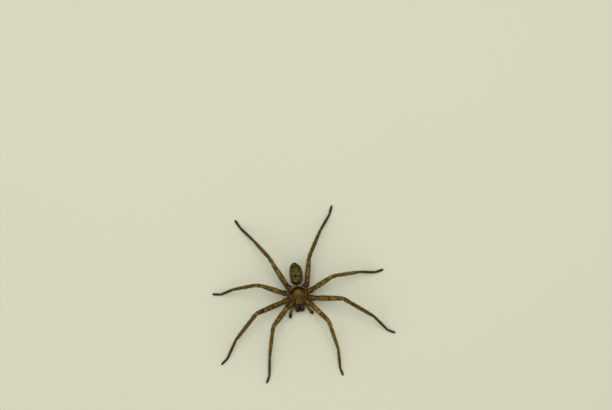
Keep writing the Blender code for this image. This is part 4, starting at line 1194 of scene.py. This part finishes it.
def build_fang(side, materials):
    """A fang that leaves the tip of its chelicera and curves in and back under the mouth."""
    sign, across = side_sign(side), np.array([1.0, 0, 0])
    middle, down = chelicera_middle(sign, np.array([1.0]))
    root = middle[0] + down * 0.02
    bend = root + np.array([-sign * 0.15, 0.25, -0.85])
    point = root + np.array([-sign * 0.72, 1.2, -1.18])
    shares = np.linspace(0, 1, 26)[:, None]
    first, second = root + (bend - root) * shares, bend + (point - bend) * shares
    centre = first + (second - first) * shares
    along = unit(np.gradient(centre, axis=0))
    up = unit(np.cross(across, along))
    radius = 0.26 * (1 - shares) ** 0.62 + 0.012
    angles = ring_angles(24)
    spokes = across * np.cos(angles)[:, None] + up[:, None] * np.sin(angles)[:, None]
    points = centre[:, None] + spokes * radius[:, None]
    surface = Surface(points, np.broadcast_to(NEAR_BLACK, points.shape))
    skin(f"fang_{side}_blade", materials["fang"], "fang", [surface], f"fang_{side}")


# The camera looks straight down at the floor, turned with the animal as the photograph shows it
CAMERA_PLACE = (9.24, 44.02, 510.0)
CAMERA_TURN = 7.0
CAMERA_LENS = 60.0
SENSOR = 36.0


def build_camera():
    camera = bpy.data.objects.new("camera", bpy.data.cameras.new("camera"))
    bpy.context.scene.collection.objects.link(camera)
    camera.data.sensor_width = SENSOR
    camera.data.lens = CAMERA_LENS
    camera.data.clip_start = 0.01
    camera.data.clip_end = 10.0
    where = (np.array(CAMERA_PLACE) + MIDDLE) * MM
    camera.matrix_world = Matrix.Translation(Vector(where)) @ Matrix.Rotation(-math.radians(CAMERA_TURN), 4, "Z")
    bpy.context.scene.camera = camera


def area_light(name, place, aim, size, power, colour):
    data = bpy.data.lights.new(name, "AREA")
    data.shape = "DISK"
    data.size = size
    data.energy = power
    data.color = colour
    light = bpy.data.objects.new(name, data)
    bpy.context.scene.collection.objects.link(light)
    light.location = place
    light.rotation_euler = (Vector(aim) - Vector(place)).to_track_quat("-Z", "Y").to_euler()


def build_studio():
    """A plain pale floor, one wide soft light from behind the spider and a weak fill."""
    mesh = bpy.data.meshes.new("floor")
    size = 1.5
    mesh.from_pydata([(-size, -size, 0), (size, -size, 0), (size, size, 0), (-size, size, 0)], [], [(0, 1, 2, 3)])
    material = bpy.data.materials.new("floor_paint")
    material.use_nodes = True
    nodes, links = material.node_tree.nodes, material.node_tree.links
    shader = nodes["Principled BSDF"]
    shader.inputs["Roughness"].default_value = 0.75
    shader.inputs["Specular IOR Level"].default_value = 0.2
    where = nodes.new("ShaderNodeTexCoord")
    noise = nodes.new("ShaderNodeTexNoise")
    noise.inputs["Scale"].default_value = 9.0
    ramp = nodes.new("ShaderNodeValToRGB")
    ramp.color_ramp.elements[0].color = (0.648, 0.663, 0.596, 1)
    ramp.color_ramp.elements[1].color = (0.662, 0.667, 0.601, 1)
    links.new(where.outputs["Object"], noise.inputs["Vector"])
    links.new(noise.outputs["Fac"], ramp.inputs["Fac"])
    links.new(ramp.outputs["Color"], shader.inputs["Base Color"])
    mesh.materials.append(material)
    floor = bpy.data.objects.new("floor", mesh)
    bpy.context.scene.collection.objects.link(floor)

    area_light("key", (0.06, 0.40, 1.0), (0, 0, 0), 0.80, 4.2, (1.0, 0.985, 0.92))
    area_light("fill", (-0.60, -0.45, 0.80), (0, 0, 0), 0.9, 1.3, (1.0, 0.98, 0.88))
    world = bpy.data.worlds.new("studio")
    bpy.context.scene.world = world
    world.use_nodes = True
    world.node_tree.nodes["Background"].inputs["Color"].default_value = (1.0, 0.97, 0.78, 1)
    world.node_tree.nodes["Background"].inputs["Strength"].default_value = 0.66
    bpy.context.scene.view_settings.view_transform = "Standard"


def main():
    build_camera()
    build_studio()
    materials = {
        "leg": node_material("leg_cuticle", 0.66, 0.07, 0.10, 0.02, 0.16, 0.07),
        "carapace": node_material("carapace_cuticle", 0.64, 0.08, 0.12, 0.03, 0.14, 0.08),
        "abdomen": node_material("abdomen_skin", 0.74, 0.06, 0.14, 0.04, 0.18, 0.07),
        "chelicera": node_material("chelicera_cuticle", 0.52, 0.07, 0.16, 0.03, 0.14, 0.10),
        "hair": node_material("hair", 0.64, 0.05, 0.3, 0.0, 0.08, 0.06),
        "spine": node_material("spine", 0.40, 0.05, 0.2, 0.005, 0.1, 0.3),
        "eye": glossy_material("eye_lens", (0.004, 0.003, 0.003), (0.012, 0.008, 0.006), 0.06, 0.4, 0.1),
        "fang": glossy_material("fang_horn", (0.010, 0.004, 0.003), (0.035, 0.010, 0.006), 0.16, 0.6, 0.3),
        "claw": glossy_material("claw_horn", (0.012, 0.008, 0.006), (0.03, 0.02, 0.014), 0.25, 0.4),
    }
    build_carapace(materials)
    build_sternum(materials)
    build_abdomen(materials)
    for side in ("right", "left"):
        build_chelicera(side, materials)
        build_palp(side, materials)
        for pair in LEG_PAIRS:
            build_leg(side, pair, materials)


main()
